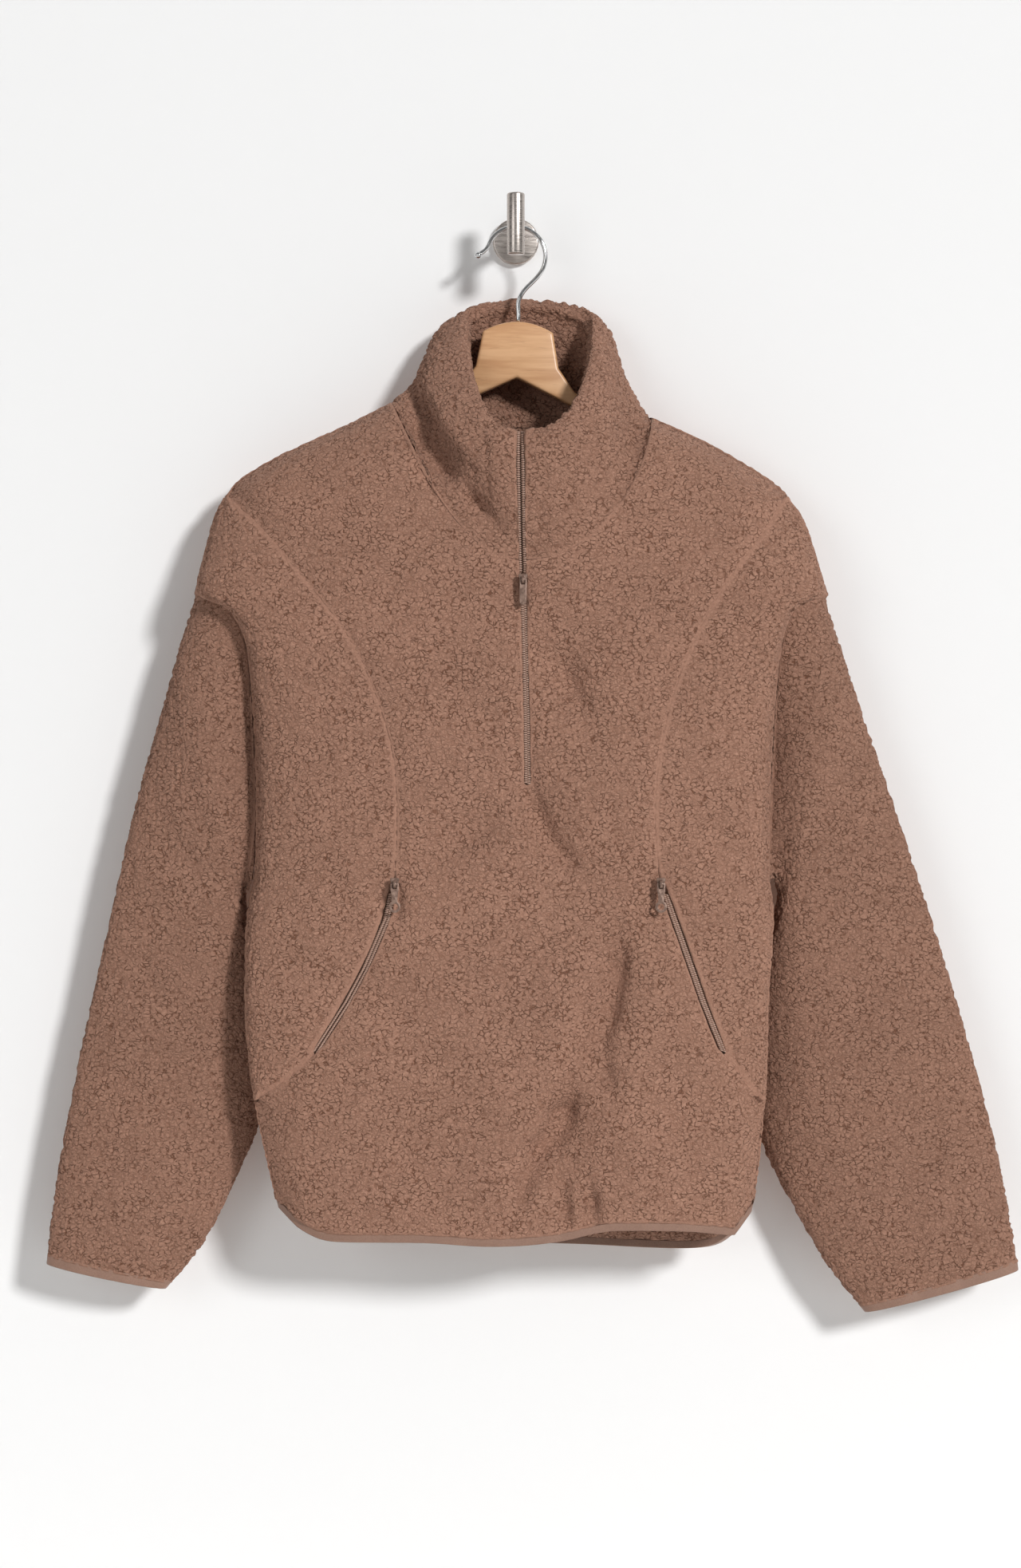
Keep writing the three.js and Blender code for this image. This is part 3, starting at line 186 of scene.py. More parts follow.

# Displayed colours of the sherpa: the lit tops of its clumps, their rounded sides in painted shade (a tone
# the flat seam strips take too), painted shade in the cracks between clumps, and the tint of its sheen
SHERPA_LIT_TOP = (165, 126, 107)
SHERPA_SHADED_SIDE_AND_SEAM = (154, 116, 98)
SHERPA_CRACK_SHADE = (102, 66, 49)
SHERPA_SHEEN = (214, 184, 166)


def srgb(red, green, blue):
    """Linear colour of a displayed 0-255 colour."""
    values = [v / 255 for v in (red, green, blue)]
    linear = [v / 12.92 if v <= 0.04045 else ((v + 0.055) / 1.055) ** 2.4 for v in values]
    return (*linear, 1.0)


# Node helpers


def wire(tree, kind, inputs=(), **settings):
    """Adds a node; inputs are pairs of a socket's name or number and a value or another node's output."""
    node = tree.nodes.new(kind)
    for key, value in settings.items():
        setattr(node, key, value)
    for key, value in inputs:
        socket = node.inputs[key]
        if isinstance(value, bpy.types.NodeSocket):
            tree.links.new(value, socket)
        else:
            socket.default_value = value
    return node


def math_node(tree, operation, a, b=0.0):
    return wire(tree, "ShaderNodeMath", [(0, a), (1, b)], operation=operation).outputs[0]


def ease(tree, value, low, high, start=0.0, end=1.0):
    """Smooth step from start to end, as a value goes from low to high."""
    node = wire(
        tree,
        "ShaderNodeMapRange",
        [("Value", value), ("From Min", low), ("From Max", high), ("To Min", start), ("To Max", end)],
        interpolation_type="SMOOTHSTEP",
    )
    return node.outputs["Result"]


# Sockets of a Mix node that blends colours
MIX_SHARE, MIX_A, MIX_B, MIX_RESULT = 0, 6, 7, 2


def blend_colour(tree, share, a, b, how="MIX"):
    inputs = [(MIX_SHARE, share), (MIX_A, a), (MIX_B, b)]
    return wire(tree, "ShaderNodeMix", inputs, data_type="RGBA", blend_type=how).outputs[MIX_RESULT]


def noise(tree, place, scale, detail=2.0, distortion=0.0):
    """Cloudy pattern; scale is how many clouds there are to a metre."""
    inputs = [("Vector", place), ("Scale", scale), ("Detail", detail), ("Distortion", distortion)]
    return wire(tree, "ShaderNodeTexNoise", inputs)


def cloud(tree, place, scale, detail=2.0, distortion=0.0):
    return noise(tree, place, scale, detail, distortion).outputs["Fac"]


def stretched(tree, place, scale):
    return wire(tree, "ShaderNodeMapping", [("Vector", place), ("Scale", scale)]).outputs[0]


def object_place(tree):
    return wire(tree, "ShaderNodeTexCoord").outputs["Object"]


def vector_math(tree, operation, *inputs):
    return wire(tree, "ShaderNodeVectorMath", enumerate(inputs), operation=operation).outputs[0]


def multiply(tree, *values):
    result = values[0]
    for value in values[1:]:
        result = math_node(tree, "MULTIPLY", result, value)
    return result


def pile_pattern(tree, rest):
    """Pattern of the pile, shared by its colour and its relief.

    Gives how deep the broken cracks are, from 0 to 1, how far the clump's edge is, and how open the pile is.
    """
    warp = noise(tree, rest, 1 / WARP_SIZE).outputs["Color"]
    centred = vector_math(tree, "SUBTRACT", warp, (0.5, 0.5, 0.5))
    moved = vector_math(tree, "MULTIPLY_ADD", centred, (2 * WARP_REACH,) * 3, rest)
    shaped = vector_math(tree, "MULTIPLY", moved, (1, 1, CLUMP_FLATTEN))

    def edges(size):
        inputs = [("Vector", shaped), ("Scale", 1 / size)]
        return wire(tree, "ShaderNodeTexVoronoi", inputs, feature="DISTANCE_TO_EDGE").outputs["Distance"]

    large, small = edges(CLUMP), edges(SMALL_CLUMP)
    breaks = cloud(tree, rest, 1 / BREAK_SIZE)
    strokes = cloud(tree, rest, 1 / STROKE_SIZE, 1.0)
    open_here = multiply(tree, ease(tree, breaks, *BREAK_OPENS), ease(tree, strokes, *STROKE_OPENS))
    deep = multiply(tree, ease(tree, large, *CRACK_FADES), open_here)
    slight = multiply(tree, ease(tree, small, *SMALL_CRACK_FADES), ease(tree, breaks, *SMALL_CRACK_OPENS))
    return math_node(tree, "MAXIMUM", deep, slight), large, open_here


# Materials


def new_finish(name):
    material = bpy.data.materials.new(name)
    material.use_nodes = True
    tree = material.node_tree
    shader = tree.nodes["Principled BSDF"]
    return material, tree, shader


def attribute(tree, name, output):
    return wire(tree, "ShaderNodeAttribute", attribute_name=name).outputs[output]


def bump(tree, shader, height, strength, distance):
    node = wire(tree, "ShaderNodeBump", [("Height", height), ("Strength", strength), ("Distance", distance)])
    tree.links.new(node.outputs[0], shader.inputs["Normal"])


def sherpa_finish():
    """Curly pile: even lit tops with rounded sides in painted shade, thin broken cracks darkened with painted
    shade, flattened strips along the seams, and painted shade on the darker pieces.
    """
    material, tree, shader = new_finish("sherpa")
    rest = attribute(tree, "rest", "Vector")
    crack, inside, _ = pile_pattern(tree, rest)
    round_top = ease(tree, inside, *CLUMP_ROUND)
    seam = attribute(tree, "seam", "Fac")
    flat = ease(tree, seam, *SEAM_FLAT, 1.0, 0.0)
    loose = ease(tree, seam, *SEAM_FLAT, SEAM_CRACKS, 1.0)
    gap = multiply(tree, crack, loose)
    shade = cloud(tree, rest, 1 / SHADE_SIZE, 3.0)
    curl = cloud(tree, rest, 1 / CURL_SIZE, 3.0)
    # Clump tops are lit and their rounded sides painted in shade, the cracks are darkened with painted shade,
    # and the flat seam strips take the side colour
    colour = blend_colour(tree, round_top, srgb(*SHERPA_SHADED_SIDE_AND_SEAM), srgb(*SHERPA_LIT_TOP))
    colour = blend_colour(tree, multiply(tree, gap, CRACK_SHADE), colour, srgb(*SHERPA_CRACK_SHADE))
    colour = blend_colour(tree, multiply(tree, flat, SEAM_TINT), colour, srgb(*SHERPA_SHADED_SIDE_AND_SEAM))
    # Random tone in broad clouds and fine curls, times the painted shade that darkens the sleeves and collar
    painted_shade = attribute(tree, "painted_shade", "Fac")
    light = multiply(tree, ease(tree, shade, *SHADE_RANGE), ease(tree, curl, *CURL_RANGE), painted_shade)
    grey = wire(tree, "ShaderNodeCombineColor", [(0, light), (1, light), (2, light)]).outputs[0]
    tree.links.new(blend_colour(tree, 1.0, colour, grey, "MULTIPLY"), shader.inputs["Base Color"])
    shader.inputs["Roughness"].default_value = 0.95
    shader.inputs["Specular IOR Level"].default_value = 0.1
    shader.inputs["Sheen Weight"].default_value = 0.2
    shader.inputs["Sheen Roughness"].default_value = 0.6
    shader.inputs["Sheen Tint"].default_value = srgb(*SHERPA_SHEEN)
    sunk = multiply(tree, gap, -1.0)
    tall = multiply(tree, round_top, loose, CLUMP_RISE)
    fuzz = multiply(tree, curl, CURL_RISE)
    height = math_node(tree, "ADD", math_node(tree, "ADD", sunk, tall), fuzz)
    bump(tree, shader, height, strength=0.8, distance=0.8 * MM)
    return material


def binding_finish():
    """Smooth elastic binding with a fine grain and a few darker patches."""
    material, tree, shader = new_finish("elastic_binding")
    place = object_place(tree)
    low, high, dark = srgb(124, 94, 79), srgb(152, 119, 102), srgb(118, 88, 73)
    grain = cloud(tree, place, 900.0)
    patches = ease(tree, cloud(tree, place, 60.0), 0.35, 0.7, 0.0, 0.3)
    colour = blend_colour(tree, patches, blend_colour(tree, grain, low, high), dark)
    tree.links.new(colour, shader.inputs["Base Color"])
    shader.inputs["Roughness"].default_value = 0.7
    shader.inputs["Sheen Weight"].default_value = 0.3
    shader.inputs["Sheen Roughness"].default_value = 0.4
    bump(tree, shader, grain, strength=0.4, distance=0.3 * MM)
    return material


def tape_finish():
    """Woven zip tape."""
    material, tree, shader = new_finish("woven_tape")
    place = object_place(tree)
    low, high = srgb(140, 106, 90), srgb(178, 141, 122)
    inputs = [("Vector", place), ("Scale", 330.0), ("Distortion", 1.0)]
    weave = wire(tree, "ShaderNodeTexWave", inputs, bands_direction="Z").outputs["Fac"]
    colour = blend_colour(tree, weave, low, high)
    tree.links.new(colour, shader.inputs["Base Color"])
    shader.inputs["Roughness"].default_value = 0.75
    shader.inputs["Sheen Weight"].default_value = 0.15
    bump(tree, shader, weave, strength=0.4, distance=0.2 * MM)
    return material


def coil_finish():
    """Nylon zip coil with a dull shine."""
    material, tree, shader = new_finish("zip_coil")
    place = object_place(tree)
    low, high = srgb(142, 110, 94), srgb(178, 145, 128)
    colour = blend_colour(tree, cloud(tree, place, 500.0), low, high)
    tree.links.new(colour, shader.inputs["Base Color"])
    shader.inputs["Roughness"].default_value = 0.28
    shader.inputs["Specular IOR Level"].default_value = 0.6
    return material


def painted_metal_finish():
    """Satin taupe paint of the sliders and pull tabs."""
    material, tree, shader = new_finish("painted_metal")
    place = object_place(tree)
    low, high = srgb(116, 92, 80), srgb(148, 122, 108)
    wear = cloud(tree, place, 420.0, 4.0)
    colour = blend_colour(tree, ease(tree, wear, 0.35, 0.7), low, high)
    tree.links.new(colour, shader.inputs["Base Color"])
    tree.links.new(ease(tree, wear, 0.3, 0.7, 0.3, 0.45), shader.inputs["Roughness"])
    shader.inputs["Metallic"].default_value = 0.35
    return material


def wood_finish():
    """Pale varnished beech: long grain along the arms and fine darker flecks."""
    material, tree, shader = new_finish("varnished_wood")
    place = object_place(tree)
    low, high, dark = srgb(194, 144, 100), srgb(216, 170, 126), srgb(150, 104, 70)
    grain = cloud(tree, stretched(tree, place, (6.0, 60.0, 60.0)), 3.0, 5.0, 0.6)
    fleck = cloud(tree, stretched(tree, place, (60.0, 900.0, 900.0)), 1.0)
    colour = blend_colour(tree, ease(tree, grain, 0.3, 0.7), low, high)
    colour = blend_colour(tree, ease(tree, fleck, 0.62, 0.75, 0.0, 0.35), colour, dark)
    tree.links.new(colour, shader.inputs["Base Color"])
    shader.inputs["Roughness"].default_value = 0.42
    shader.inputs["Coat Weight"].default_value = 0.25
    shader.inputs["Coat Roughness"].default_value = 0.3
    bump(tree, shader, fleck, strength=0.15, distance=0.1 * MM)
    return material


def chrome_finish():
    """Polished wire with faint drawing marks."""
    material, tree, shader = new_finish("polished_wire")
    place = object_place(tree)
    low, high = srgb(196, 196, 196), srgb(226, 226, 226)
    haze = cloud(tree, place, 300.0, 3.0)
    colour = blend_colour(tree, haze, low, high)
    tree.links.new(colour, shader.inputs["Base Color"])
    tree.links.new(ease(tree, haze, 0.3, 0.7, 0.08, 0.2), shader.inputs["Roughness"])
    shader.inputs["Metallic"].default_value = 1.0
    return material


def steel_finish():
    """Brushed nickel with fine lines round the peg."""
    material, tree, shader = new_finish("brushed_nickel")
    place = object_place(tree)
    low, high = srgb(168, 158, 150), srgb(206, 198, 192)
    lines = cloud(tree, stretched(tree, place, (90.0, 90.0, 2600.0)), 1.0)
    colour = blend_colour(tree, lines, low, high)
    tree.links.new(colour, shader.inputs["Base Color"])
    tree.links.new(ease(tree, lines, 0.3, 0.7, 0.24, 0.4), shader.inputs["Roughness"])
    shader.inputs["Metallic"].default_value = 1.0
    bump(tree, shader, lines, strength=0.1, distance=0.05 * MM)
    return material


SHERPA = sherpa_finish()
BINDING = binding_finish()
TAPE = tape_finish()
COIL = coil_finish()
PAINT = painted_metal_finish()
WOOD = wood_finish()
CHROME = chrome_finish()
NICKEL = steel_finish()


# Mesh helpers


def link_piece(name, mesh, material, body):
    piece = bpy.data.objects.new(name, mesh)
    bpy.context.scene.collection.objects.link(piece)
    mesh.materials.clear()
    mesh.materials.append(material)
    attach(piece, body)
    return piece


def merged(node):
    bm = bmesh.new()
    bm.from_mesh(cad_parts[node].data)
    bmesh.ops.remove_doubles(bm, verts=bm.verts, dist=MERGE_REACH)
    return bm


def baked(bm, name, set_up):
    """Mesh of a bmesh after the modifiers that set_up adds."""
    mesh = bpy.data.meshes.new(name)
    bm.to_mesh(mesh)
    bm.free()
    holder = bpy.data.objects.new(name, mesh)
    bpy.context.scene.collection.objects.link(holder)
    set_up(holder)
    depsgraph = bpy.context.evaluated_depsgraph_get()
    result = bpy.data.meshes.new_from_object(holder.evaluated_get(depsgraph))
    bpy.data.objects.remove(holder)
    bpy.data.meshes.remove(mesh)
    result.name = name
    return result


def subdivided(levels):
    def set_up(holder):
        modifier = holder.modifiers.new("smooth", "SUBSURF")
        modifier.levels = levels
        modifier.render_levels = levels
    return set_up


OUTER, INNER, RIM = 0, 1, 2
SAME_SIDE = 0.55  # cosine of the most that neighbouring faces of one side turn
SEAM_TURN = -0.4  # a rim face of the collar whose normal points down more than this is at the neck seam
ZIP_SIDE = 9  # millimetres from the zip's middle


def flood(faces):
    """Groups of faces that join without a sharp turn, the largest first."""
    left = set(faces)
    groups = []
    while left:
        todo = [left.pop()]
        group = []
        while todo:
            face = todo.pop()
            group.append(face)
            for other in {other for edge in face.edges for other in edge.link_faces}:
                if other in left and face.normal.dot(other.normal) > SAME_SIDE:
                    left.discard(other)
                    todo.append(other)
        groups.append(group)
    return sorted(groups, key=lambda group: -sum(face.calc_area() for face in group))


def sort_faces(bm, wall, facing):
    """Gives each face of a closed wall a material number: outside, inside or rim."""
    tree = BVHTree.FromBMesh(bm)
    walls = []
    for face in bm.faces:
        face.material_index = RIM
        start = face.calc_center_median() - face.normal * RAY_LIFT
        if tree.ray_cast(start, -face.normal, 2 * wall)[0] is not None:
            walls.append(face)
    pair = flood(walls)[:2]
    if facing:
        pair.sort(key=lambda group: -sum(face.calc_area() * face.normal.dot(facing) for face in group))
    for number, group in zip((OUTER, INNER), pair):
        for face in group:
            face.material_index = number
    changed = True
    while changed:
        changed = False
        for face in bm.faces:
            if face.material_index != RIM:
                continue
            around = [other for edge in face.edges for other in edge.link_faces if other is not face]
            for number in (OUTER, INNER):
                if [other.material_index for other in around].count(number) >= 2:
                    face.material_index = number
                    changed = True


def crease_depth(point, normal):
    """How deep the creases are at a point of the cloth's outside."""
    x, drop = point.x / MM, -point.z / MM
    depth = 0.0
    for side, rows in CREASES.items():
        share = min(1, max(0, normal.dot(FACING[side]) * CREASE_GAIN - CREASE_START))
        if share == 0:
            continue
        for number, (x0, drop0, x1, drop1, bow, reach, deepest) in enumerate(rows):
            pad = CREASE_PAD * reach
            if not min(x0, x1) - pad < x < max(x0, x1) + pad:
                continue
            if not min(drop0, drop1) - pad < drop < max(drop0, drop1) + pad:
                continue
            along_x, along_drop = x1 - x0, drop1 - drop0
            length = math.hypot(along_x, along_drop)
            t = ((x - x0) * along_x + (drop - drop0) * along_drop) / length**2
            near = min(1, max(0, t))
            bowed = bow * 4 * near * (1 - near)
            side_way = ((x - x0) * along_drop - (drop - drop0) * along_x) / length - bowed
            past = (t - near) * length
            width = reach * (STEEP_SIDE if side_way > 0 else GENTLE_SIDE)
            swell = CREASE_END + (1 - CREASE_END) * math.sin(math.pi * near)
            wave = 1 + CREASE_WAVE * math.sin(CREASE_WAVES * near + 2 * number)
            depth += share * deepest * (swell * wave) * math.exp(-(side_way**2 + past**2) / width**2)
    return depth * MM


def is_roll(face):
    """Whether a face is of the collar's rolled edge: its rim, but not the neck seam or the zip's sides."""
    beside_zip = abs(face.calc_center_median().x / MM - ZIP_TOP_X) < ZIP_SIDE
    return face.material_index == RIM and face.normal.z > SEAM_TURN and not beside_zip


def at_pocket(point):
    """Whether a point of a panel's cut edge is at a pocket's mouth."""
    x, drop = point.x / MM, -point.z / MM
    side = "left" if x < 0 else "right"
    (top, _), (bottom, _) = POCKET_ROUTE[side][0], POCKET_ROUTE[side][-1]
    return top < drop < bottom and abs(x - pocket_x(side, drop)) < POCKET_SIDE


def close_seams(bm, reach, mouths):
    """Moves the wall's cut edges out by a hair, so that sewn panels touch; mouths keeps the pockets open."""
    for vert in bm.verts:
        rim = [face.normal for face in vert.link_faces if face.material_index == RIM]
        if rim and not (mouths and at_pocket(vert.co)):
            vert.co += sum(rim, Vector()) / len(rim) * reach


def crease_edges(bm, rolled):
    """Keeps the wall's edges sharp, and the corners where they turn; a rolled piece has a round top edge."""
    edge_layer = bm.edges.layers.float.new("crease_edge")
    corner_layer = bm.verts.layers.float.new("crease_vert")
    for edge in bm.edges:
        if rolled and any(is_roll(face) for face in edge.link_faces):
            continue
        if len({face.material_index for face in edge.link_faces}) > 1:
            edge[edge_layer] = 1.0
    for vert in bm.verts:
        sharp = [edge for edge in vert.link_edges if edge[edge_layer] > 0]
        if len(sharp) == 2:
            one, two = [(edge.other_vert(vert).co - vert.co).normalized() for edge in sharp]
            if one.dot(two) > CORNER_TURN:
                vert[corner_layer] = 1.0


def pile_group():
    """Geometry nodes that press the pile's cracks and hollows into the cloth, the way each point faces."""
    tree = bpy.data.node_groups.new("pile", "GeometryNodeTree")
    tree.interface.new_socket("Geometry", in_out="INPUT", socket_type="NodeSocketGeometry")
    tree.interface.new_socket("Geometry", in_out="OUTPUT", socket_type="NodeSocketGeometry")
    source = tree.nodes.new("NodeGroupInput")
    result = tree.nodes.new("NodeGroupOutput")
    rest = tree.nodes.new("GeometryNodeInputPosition").outputs[0]

    def named(name, kind="FLOAT"):
        return wire(tree, "GeometryNodeInputNamedAttribute", [("Name", name)], data_type=kind).outputs[0]

    seam, pile, way = named("seam"), named("pile"), named("way", "FLOAT_VECTOR")
    crack, inside, open_here = pile_pattern(tree, rest)
    valley = ease(tree, inside, *CLUMP_ROUND, 1.0, 0.0)
    sunk = multiply(tree, valley, ease(tree, open_here, 0.0, 1.0, CLOSED_RELIEF))
    gap = math_node(tree, "MAXIMUM", multiply(tree, crack, CRACK_RELIEF), sunk)
    loose = ease(tree, seam, *SEAM_FLAT, SEAM_RELIEF, 1.0)
    pressed = multiply(tree, gap, loose, PILE_DEPTH)
    facing = math_node(tree, "ABSOLUTE", wire(tree, "ShaderNodeSeparateXYZ", [(0, way)]).outputs["Y"])
    full_depth = ease(tree, facing, *SIDE_TURN, SIDE_LUMP_DEPTH, LUMP_DEPTH)
    lump_depth = ease(tree, seam, *SEAM_FLAT, SEAM_LUMP_DEPTH, full_depth)
    hollow = multiply(tree, ease(tree, cloud(tree, rest, 1 / LUMP_SIZE), *LUMP_SINKS), lump_depth)
    lift = multiply(tree, math_node(tree, "ADD", pressed, hollow), pile, -1.0)
    offset = wire(tree, "ShaderNodeVectorMath", [(0, way), ("Scale", lift)], operation="SCALE").outputs[0]
    keep = wire(
        tree,
        "GeometryNodeStoreNamedAttribute",
        [("Geometry", source.outputs[0]), ("Name", "rest"), ("Value", rest)],
        data_type="FLOAT_VECTOR",
        domain="POINT",
    )
    moved = wire(tree, "GeometryNodeSetPosition", [("Geometry", keep.outputs[0]), ("Offset", offset)])
    tree.links.new(moved.outputs[0], result.inputs[0])
    return tree


PILE = pile_group()


def with_pile(holder):
    holder.modifiers.new("pile", "NODES").node_group = PILE


def smooth_step(value, low, high):
    t = min(1, max(0, (value - low) / (high - low)))
    return t * t * (3 - 2 * t)


def groove_depth(point, outward, away):
    """How deep a sleeve's front sinks behind the body's edge, away metres from its seam."""
    drop = -point.z / MM
    share = smooth_step(drop, *GROOVE_DROP[:2]) * (1 - smooth_step(drop, *GROOVE_DROP[2:]))
    fade = math.exp(-((away / GROOVE_REACH) ** 2))
    return GROOVE_DEPTH * share * max(0, outward.dot(FACING["front"])) * fade


def corner_move(point):
    """How far a point near a corner of the shoulders moves in, so that the pile rounds the corner."""
    move = Vector()
    for x, drop, side_way, down in SOFT_CORNERS:
        away = math.hypot(point.x / MM - x, -point.z / MM - drop)
        move += Vector((side_way, 0, -down)) * MM * math.exp(-((away / CORNER_REACH) ** 2))
    return move


def find_near(points):
    """Function that says how far a place is from the nearest of some points."""
    tree = KDTree(len(points))
    for number, point in enumerate(points):
        tree.insert(point, number)
    tree.balance()
    return lambda point: tree.find(point)[2]


def dense_wall(node, wall, facing, cuts, rolled, grooved):
    """Smoothed copy of a panel's wall, its outside cut finer; each face keeps the number of its side."""
    bm = merged(node)
    sort_faces(bm, wall * MM, facing)
    close_seams(bm, SLEEVE_TUCK if grooved else SEAM_TOUCH, node.startswith("front_side"))
    bmesh.ops.join_triangles(
        bm,
        faces=bm.faces,
        cmp_materials=True,
        angle_face_threshold=PANEL_JOIN_TURN,
        angle_shape_threshold=JOIN_SHAPE,
    )
    crease_edges(bm, rolled)
    smooth = baked(bm, node, subdivided(PANEL_LEVELS))
    bm = bmesh.new()
    bm.from_mesh(smooth)
    bpy.data.meshes.remove(smooth)
    dense = [face for face in bm.faces if rolled or face.material_index == OUTER]
    edges = dict.fromkeys(edge for face in dense for edge in face.edges)
    bmesh.ops.subdivide_edges(bm, edges=list(edges), cuts=cuts, use_grid_fill=True)
    return bm


def sherpa_piece(
    node, wall=PANEL_WALL, facing=None, cuts=2, narrow=PANEL_NARROW, rolled=False, grooved=False, painted_shade=1.0
):
    """Sherpa panel on its CAD wall: made dense, creased, then given its pile.

    The flat strip along its seams is as many times narrower as narrow says. A rolled piece has pile on both
    sides and a swollen edge, and a grooved one tucks in and sinks behind the body's edge. The last argument
    is
    painted shade: the share of the pile's colour that the piece keeps, lower for the pieces darkened with it.
    """
    bm = dense_wall(node, wall, facing, cuts, rolled, grooved)
    seam = bm.verts.layers.float.new("seam")
    pile = bm.verts.layers.float.new("pile")
    # The painted shade, kept on each point for the sherpa finish
    painted_shade_layer = bm.verts.layers.float.new("painted_shade")
    way = bm.verts.layers.float_vector.new("way")
    bm.normal_update()
    kinds_of = {vert: {face.material_index for face in vert.link_faces} for vert in bm.verts}
    edge_of_roll = {vert for vert in bm.verts if rolled and any(is_roll(face) for face in vert.link_faces)}
    border = [vert for vert, kinds in kinds_of.items() if {OUTER, RIM} <= kinds and vert not in edge_of_roll]
    to_seam = find_near([vert.co for vert in border])
    to_roll = find_near([vert.co for vert in edge_of_roll]) if rolled else None
    moves = []
    for vert, kinds in kinds_of.items():
        away = to_seam(vert.co)
        vert[seam] = away * narrow
        vert[painted_shade_layer] = painted_shade
        vert[pile] = 1.0 if rolled or OUTER in kinds else INSIDE_PILE
        flat = [face.normal for face in vert.link_faces if face.material_index != RIM]
        move = corner_move(vert.co)
        if not flat:
            vert[way] = vert.normal
            moves.append((vert, move))
            continue
        vert[way] = sum(flat, Vector()).normalized()
        outward = vert[way] * (1 if OUTER in kinds else -1)
        depth = crease_depth(vert.co, outward) if RIM not in kinds else 0.0
        if grooved:
            depth += groove_depth(vert.co, outward, away)
        move += outward * -depth
        if rolled:
            move += vert.normal * ROLL_SWELL * math.exp(-((to_roll(vert.co) / ROLL_REACH) ** 2))
        moves.append((vert, move))
    for vert, move in moves:
        vert.co += move
    for face in bm.faces:
        face.material_index = 0
        face.smooth = True
    mesh = baked(bm, node, with_pile)
    piece = link_piece(node + "_sherpa", mesh, SHERPA, BODY)
    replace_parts(piece, node)
    return piece


def plain_piece(node, name, material, levels=1, body=BODY, crease=0.6):
    """Copy of a CAD solid with joined faces, sharp edges kept, rounded by subdivision."""
    bm = merged(node)
    bmesh.ops.join_triangles(
        bm, faces=bm.faces, angle_face_threshold=JOIN_TURN, angle_shape_threshold=JOIN_SHAPE
    )
    layer = bm.edges.layers.float.new("crease_edge")
    for edge in bm.edges:
        if len(edge.link_faces) == 2 and edge.calc_face_angle() > JOIN_TURN:
            edge[layer] = crease
    for face in bm.faces:
        face.smooth = True
    mesh = baked(bm, name, subdivided(levels))
    piece = link_piece(name, mesh, material, body)
    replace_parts(piece, node)
    return piece


def hard_piece(node, name, material, rounding, body=BODY):
    """Copy of a hard CAD solid with its flat faces whole and its edges rounded."""
    bm = merged(node)
    bmesh.ops.dissolve_limit(bm, angle_limit=FLAT_TURN, verts=bm.verts, edges=bm.edges)
    sharp = [edge for edge in bm.edges if len(edge.link_faces) == 2 and edge.calc_face_angle() > EDGE_TURN]
    bmesh.ops.bevel(
        bm,
        geom=sharp,
        offset=rounding * MM,
        affect="EDGES",
        segments=2,
        profile=0.5,
        material=-1,
        clamp_overlap=True,
    )
    for face in bm.faces:
        face.smooth = True
    for edge in bm.edges:
        if len(edge.link_faces) == 2 and edge.calc_face_angle() > SHADING_TURN:
            edge.smooth = False
    mesh = bpy.data.meshes.new(name)
    bm.to_mesh(mesh)
    bm.free()
    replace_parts(link_piece(name, mesh, material, body), node)


# Zip coils


def zip_x(drop):
    return ZIP_TOP_X + (ZIP_BOTTOM_X - ZIP_TOP_X) * smooth_step(drop, ZIP_TOP, ZIP_BOTTOM)


def pocket_x(side, drop):
    route = POCKET_ROUTE[side]
    for (drop0, x0), (drop1, x1) in zip(route, route[1:]):
        if drop <= drop1:
            return x0 + (x1 - x0) * (drop - drop0) / (drop1 - drop0)
    return route[-1][1]


def on_tape(trees, x, drop):
    """Point on the zip tape's outside at a place seen from the front."""
    for tree in trees:
        hit = tree.ray_cast(Vector((x, -IN_FRONT, -drop)) * MM, FACING["back"])
        if hit[0] is not None:
            return hit[0]
    return None


def coil_rows(name, nodes, start, end, place, shift):
    """Teeth across a zip, side by side along it; shift is each row's distance from the middle."""
    trees = []
    for node in nodes:
        bm = merged(node)
        trees.append(BVHTree.FromBMesh(bm))
        bm.free()
    bm = bmesh.new()
    scale = Matrix.Diagonal((*(size * MM for size in TOOTH), 1))
    for number in range(int((end - start) / TOOTH_PITCH)):
        drop = start + (number + 0.5) * TOOTH_PITCH
        if abs(drop - SLIDER_DROP) < SLIDER_REACH:
            continue
        slope = place(drop + SLOPE_STEP) - place(drop - SLOPE_STEP)
        turn = Matrix.Rotation(math.atan2(slope, 2 * SLOPE_STEP), 4, "Y")
        for sign in (-1, 1):
            away = sign * shift(drop)
            base = on_tape(trees, place(drop) + away * (1 + TOOTH_OVERHANG), drop)
            if base is None:
                continue
            stagger = sign * TOOTH_PITCH * TOOTH_STAGGER
            middle = base + Vector((-away * TOOTH_OVERHANG, -TOOTH_LIFT, -stagger)) * MM
            matrix = Matrix.Translation(middle) @ turn @ scale
            bmesh.ops.create_icosphere(bm, subdivisions=1, radius=TOOTH_RADIUS, matrix=matrix)
    for face in bm.faces:
        face.smooth = True
    mesh = bpy.data.meshes.new(name)
    bm.to_mesh(mesh)
    bm.free()
    return link_piece(name, mesh, COIL, BODY)


# Pieces

front = sherpa_piece("front_centre", facing=FACING["front"], cuts=1)
back = sherpa_piece("back", facing=FACING["back"])
# The collar's pile is darkened with painted shade
collar = sherpa_piece("collar", COLLAR_WALL, cuts=1, rolled=True, painted_shade=COLLAR_PAINTED_SHADE)
sides = {
    side: sherpa_piece("front_side_" + side, facing=FACING["front"], narrow=SIDE_NARROW) for side in SIDES
}
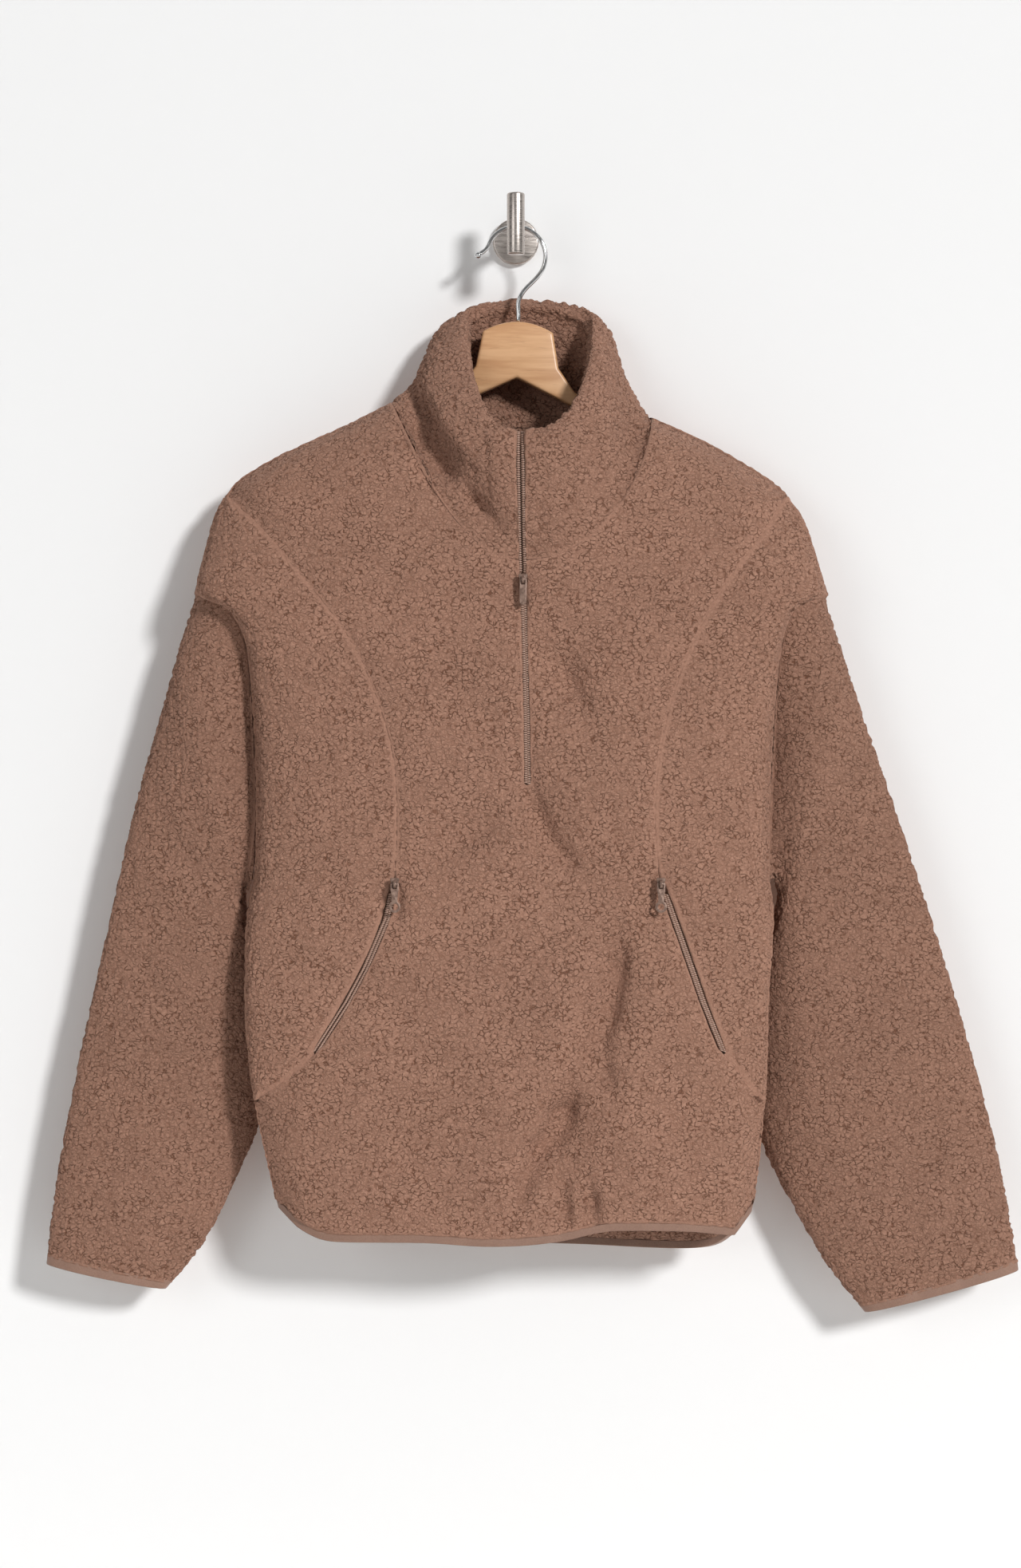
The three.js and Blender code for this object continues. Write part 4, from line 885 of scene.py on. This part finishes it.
# The sleeves' pile is darkened with painted shade
sleeves = {side: sherpa_piece("sleeve_" + side, grooved=True, painted_shade=SLEEVE_PAINTED_SHADE) for side in SIDES}
hem = plain_piece("hem_binding", "hem_elastic", BINDING, levels=2)
cuffs = {
    side: plain_piece("cuff_binding_" + side, "cuff_elastic_" + side, BINDING, levels=2)
    for side in SIDES
}
zip_tapes = {
    side: plain_piece("front_zip_tape_" + side, "zip_tape_" + side, TAPE, crease=1.0)
    for side in SIDES
}
pocket_tapes = {
    side: plain_piece("pocket_tape_" + side, "pocket_zip_tape_" + side, TAPE, crease=1.0)
    for side in SIDES
}
front_coil = coil_rows(
    "front_zip_coil",
    ["front_zip_tape_left", "front_zip_tape_right"],
    COIL_TOP,
    ZIP_BOTTOM,
    zip_x,
    lambda drop: TOOTH_SHIFT if drop > SLIDER_DROP else OPEN_SHIFT,
)
pocket_coils = {
    side: coil_rows(
        "pocket_zip_coil_" + side,
        ["pocket_tape_" + side],
        POCKET_TOP,
        POCKET_BOTTOM,
        lambda drop, side=side: pocket_x(side, drop),
        lambda drop: TOOTH_SHIFT,
    )
    for side in SIDES
}
for name in ("front_slider", "pocket_slider_left", "pocket_slider_right"):
    hard_piece(name, name + "_painted", PAINT, rounding=0.25)
for name in ("front_pull", "pocket_pull_left", "pocket_pull_right"):
    hard_piece(name, name + "_painted", PAINT, rounding=0.3, body=name)
hard_piece("hanger_body", "hanger_wood", WOOD, rounding=1.0)
plain_piece("hanger_hook", "hanger_wire", CHROME, crease=0.0)
hard_piece("wall_plate", "hook_plate", NICKEL, rounding=0.4)
hard_piece("wall_stem", "hook_stem", NICKEL, rounding=0.2)
hard_piece("wall_bar", "hook_bar", NICKEL, rounding=0.4)

# Stage, in metres: a white wall that can be seen through from behind, and a pale floor

STAGE_WIDTH, FLOOR_DEPTH = 6, 6
WALL_BACK, WALL_BOTTOM, WALL_TOP = 0.0008, -1.1, 2.4
TARGET = (0, 0, -0.45)  # what the lights point at
WORLD_LIGHT = 0.195


def stage_plane(name, centre, across, up, colour):
    """Flat oblong round its centre, seen from the side where up points up while across points right."""
    bm = bmesh.new()
    across, up = Vector(across), Vector(up)
    turn = Matrix((across, up, across.cross(up).normalized())).transposed().to_4x4()
    matrix = Matrix.Translation(centre) @ turn
    bmesh.ops.create_grid(bm, x_segments=1, y_segments=1, size=0.5, matrix=matrix)
    mesh = bpy.data.meshes.new(name)
    bm.to_mesh(mesh)
    bm.free()
    material, tree, shader = new_finish(name)
    shader.inputs["Base Color"].default_value = colour
    shader.inputs["Roughness"].default_value = 0.9
    clear = tree.nodes.new("ShaderNodeBsdfTransparent")
    behind = tree.nodes.new("ShaderNodeNewGeometry").outputs["Backfacing"]
    mix = wire(tree, "ShaderNodeMixShader", [(0, behind), (1, shader.outputs[0]), (2, clear.outputs[0])])
    tree.links.new(mix.outputs[0], tree.nodes["Material Output"].inputs["Surface"])
    mesh.materials.append(material)
    plane = bpy.data.objects.new(name, mesh)
    bpy.context.scene.collection.objects.link(plane)
    plane.visible_shadow = False


wall_middle, wall_height = (WALL_BOTTOM + WALL_TOP) / 2, WALL_TOP - WALL_BOTTOM
stage_plane(
    "white_wall", (0, WALL_BACK, wall_middle), (STAGE_WIDTH, 0, 0), (0, 0, wall_height), srgb(236, 236, 236)
)
stage_plane(
    "pale_floor", (0, 0, WALL_BOTTOM), (STAGE_WIDTH, 0, 0), (0, FLOOR_DEPTH, 0), srgb(238, 237, 235)
)


def area_light(name, place, size, power):
    lamp = bpy.data.lights.new(name, "AREA")
    lamp.shape = "DISK"
    lamp.size = size
    lamp.energy = power
    light = bpy.data.objects.new(name, lamp)
    light.location = place
    light.rotation_euler = (Vector(TARGET) - Vector(place)).to_track_quat("-Z", "Y").to_euler()
    bpy.context.scene.collection.objects.link(light)


area_light("key", (7.2, -11.2, 4.45), size=2.2, power=1530)
area_light("fill", (-3.0, -4.5, 0.6), size=2.6, power=40)
area_light("behind", (0.5, 2.6, 0.6), size=2.5, power=60)
world = bpy.data.worlds.new("studio")
world.use_nodes = True
world.node_tree.nodes["Background"].inputs["Color"].default_value = (1, 1, 1, 1)
world.node_tree.nodes["Background"].inputs["Strength"].default_value = WORLD_LIGHT
bpy.context.scene.world = world
bpy.context.scene.view_settings.view_transform = "Standard"

lens = bpy.data.cameras.new("photo_camera")
lens.lens = FOCAL_PIXELS / PHOTO_HEIGHT * SENSOR
lens.sensor_width = SENSOR
camera = bpy.data.objects.new("photo_camera", lens)
camera.location = EYE
camera.rotation_euler = (math.pi / 2, 0, 0)
bpy.context.scene.collection.objects.link(camera)
bpy.context.scene.camera = camera
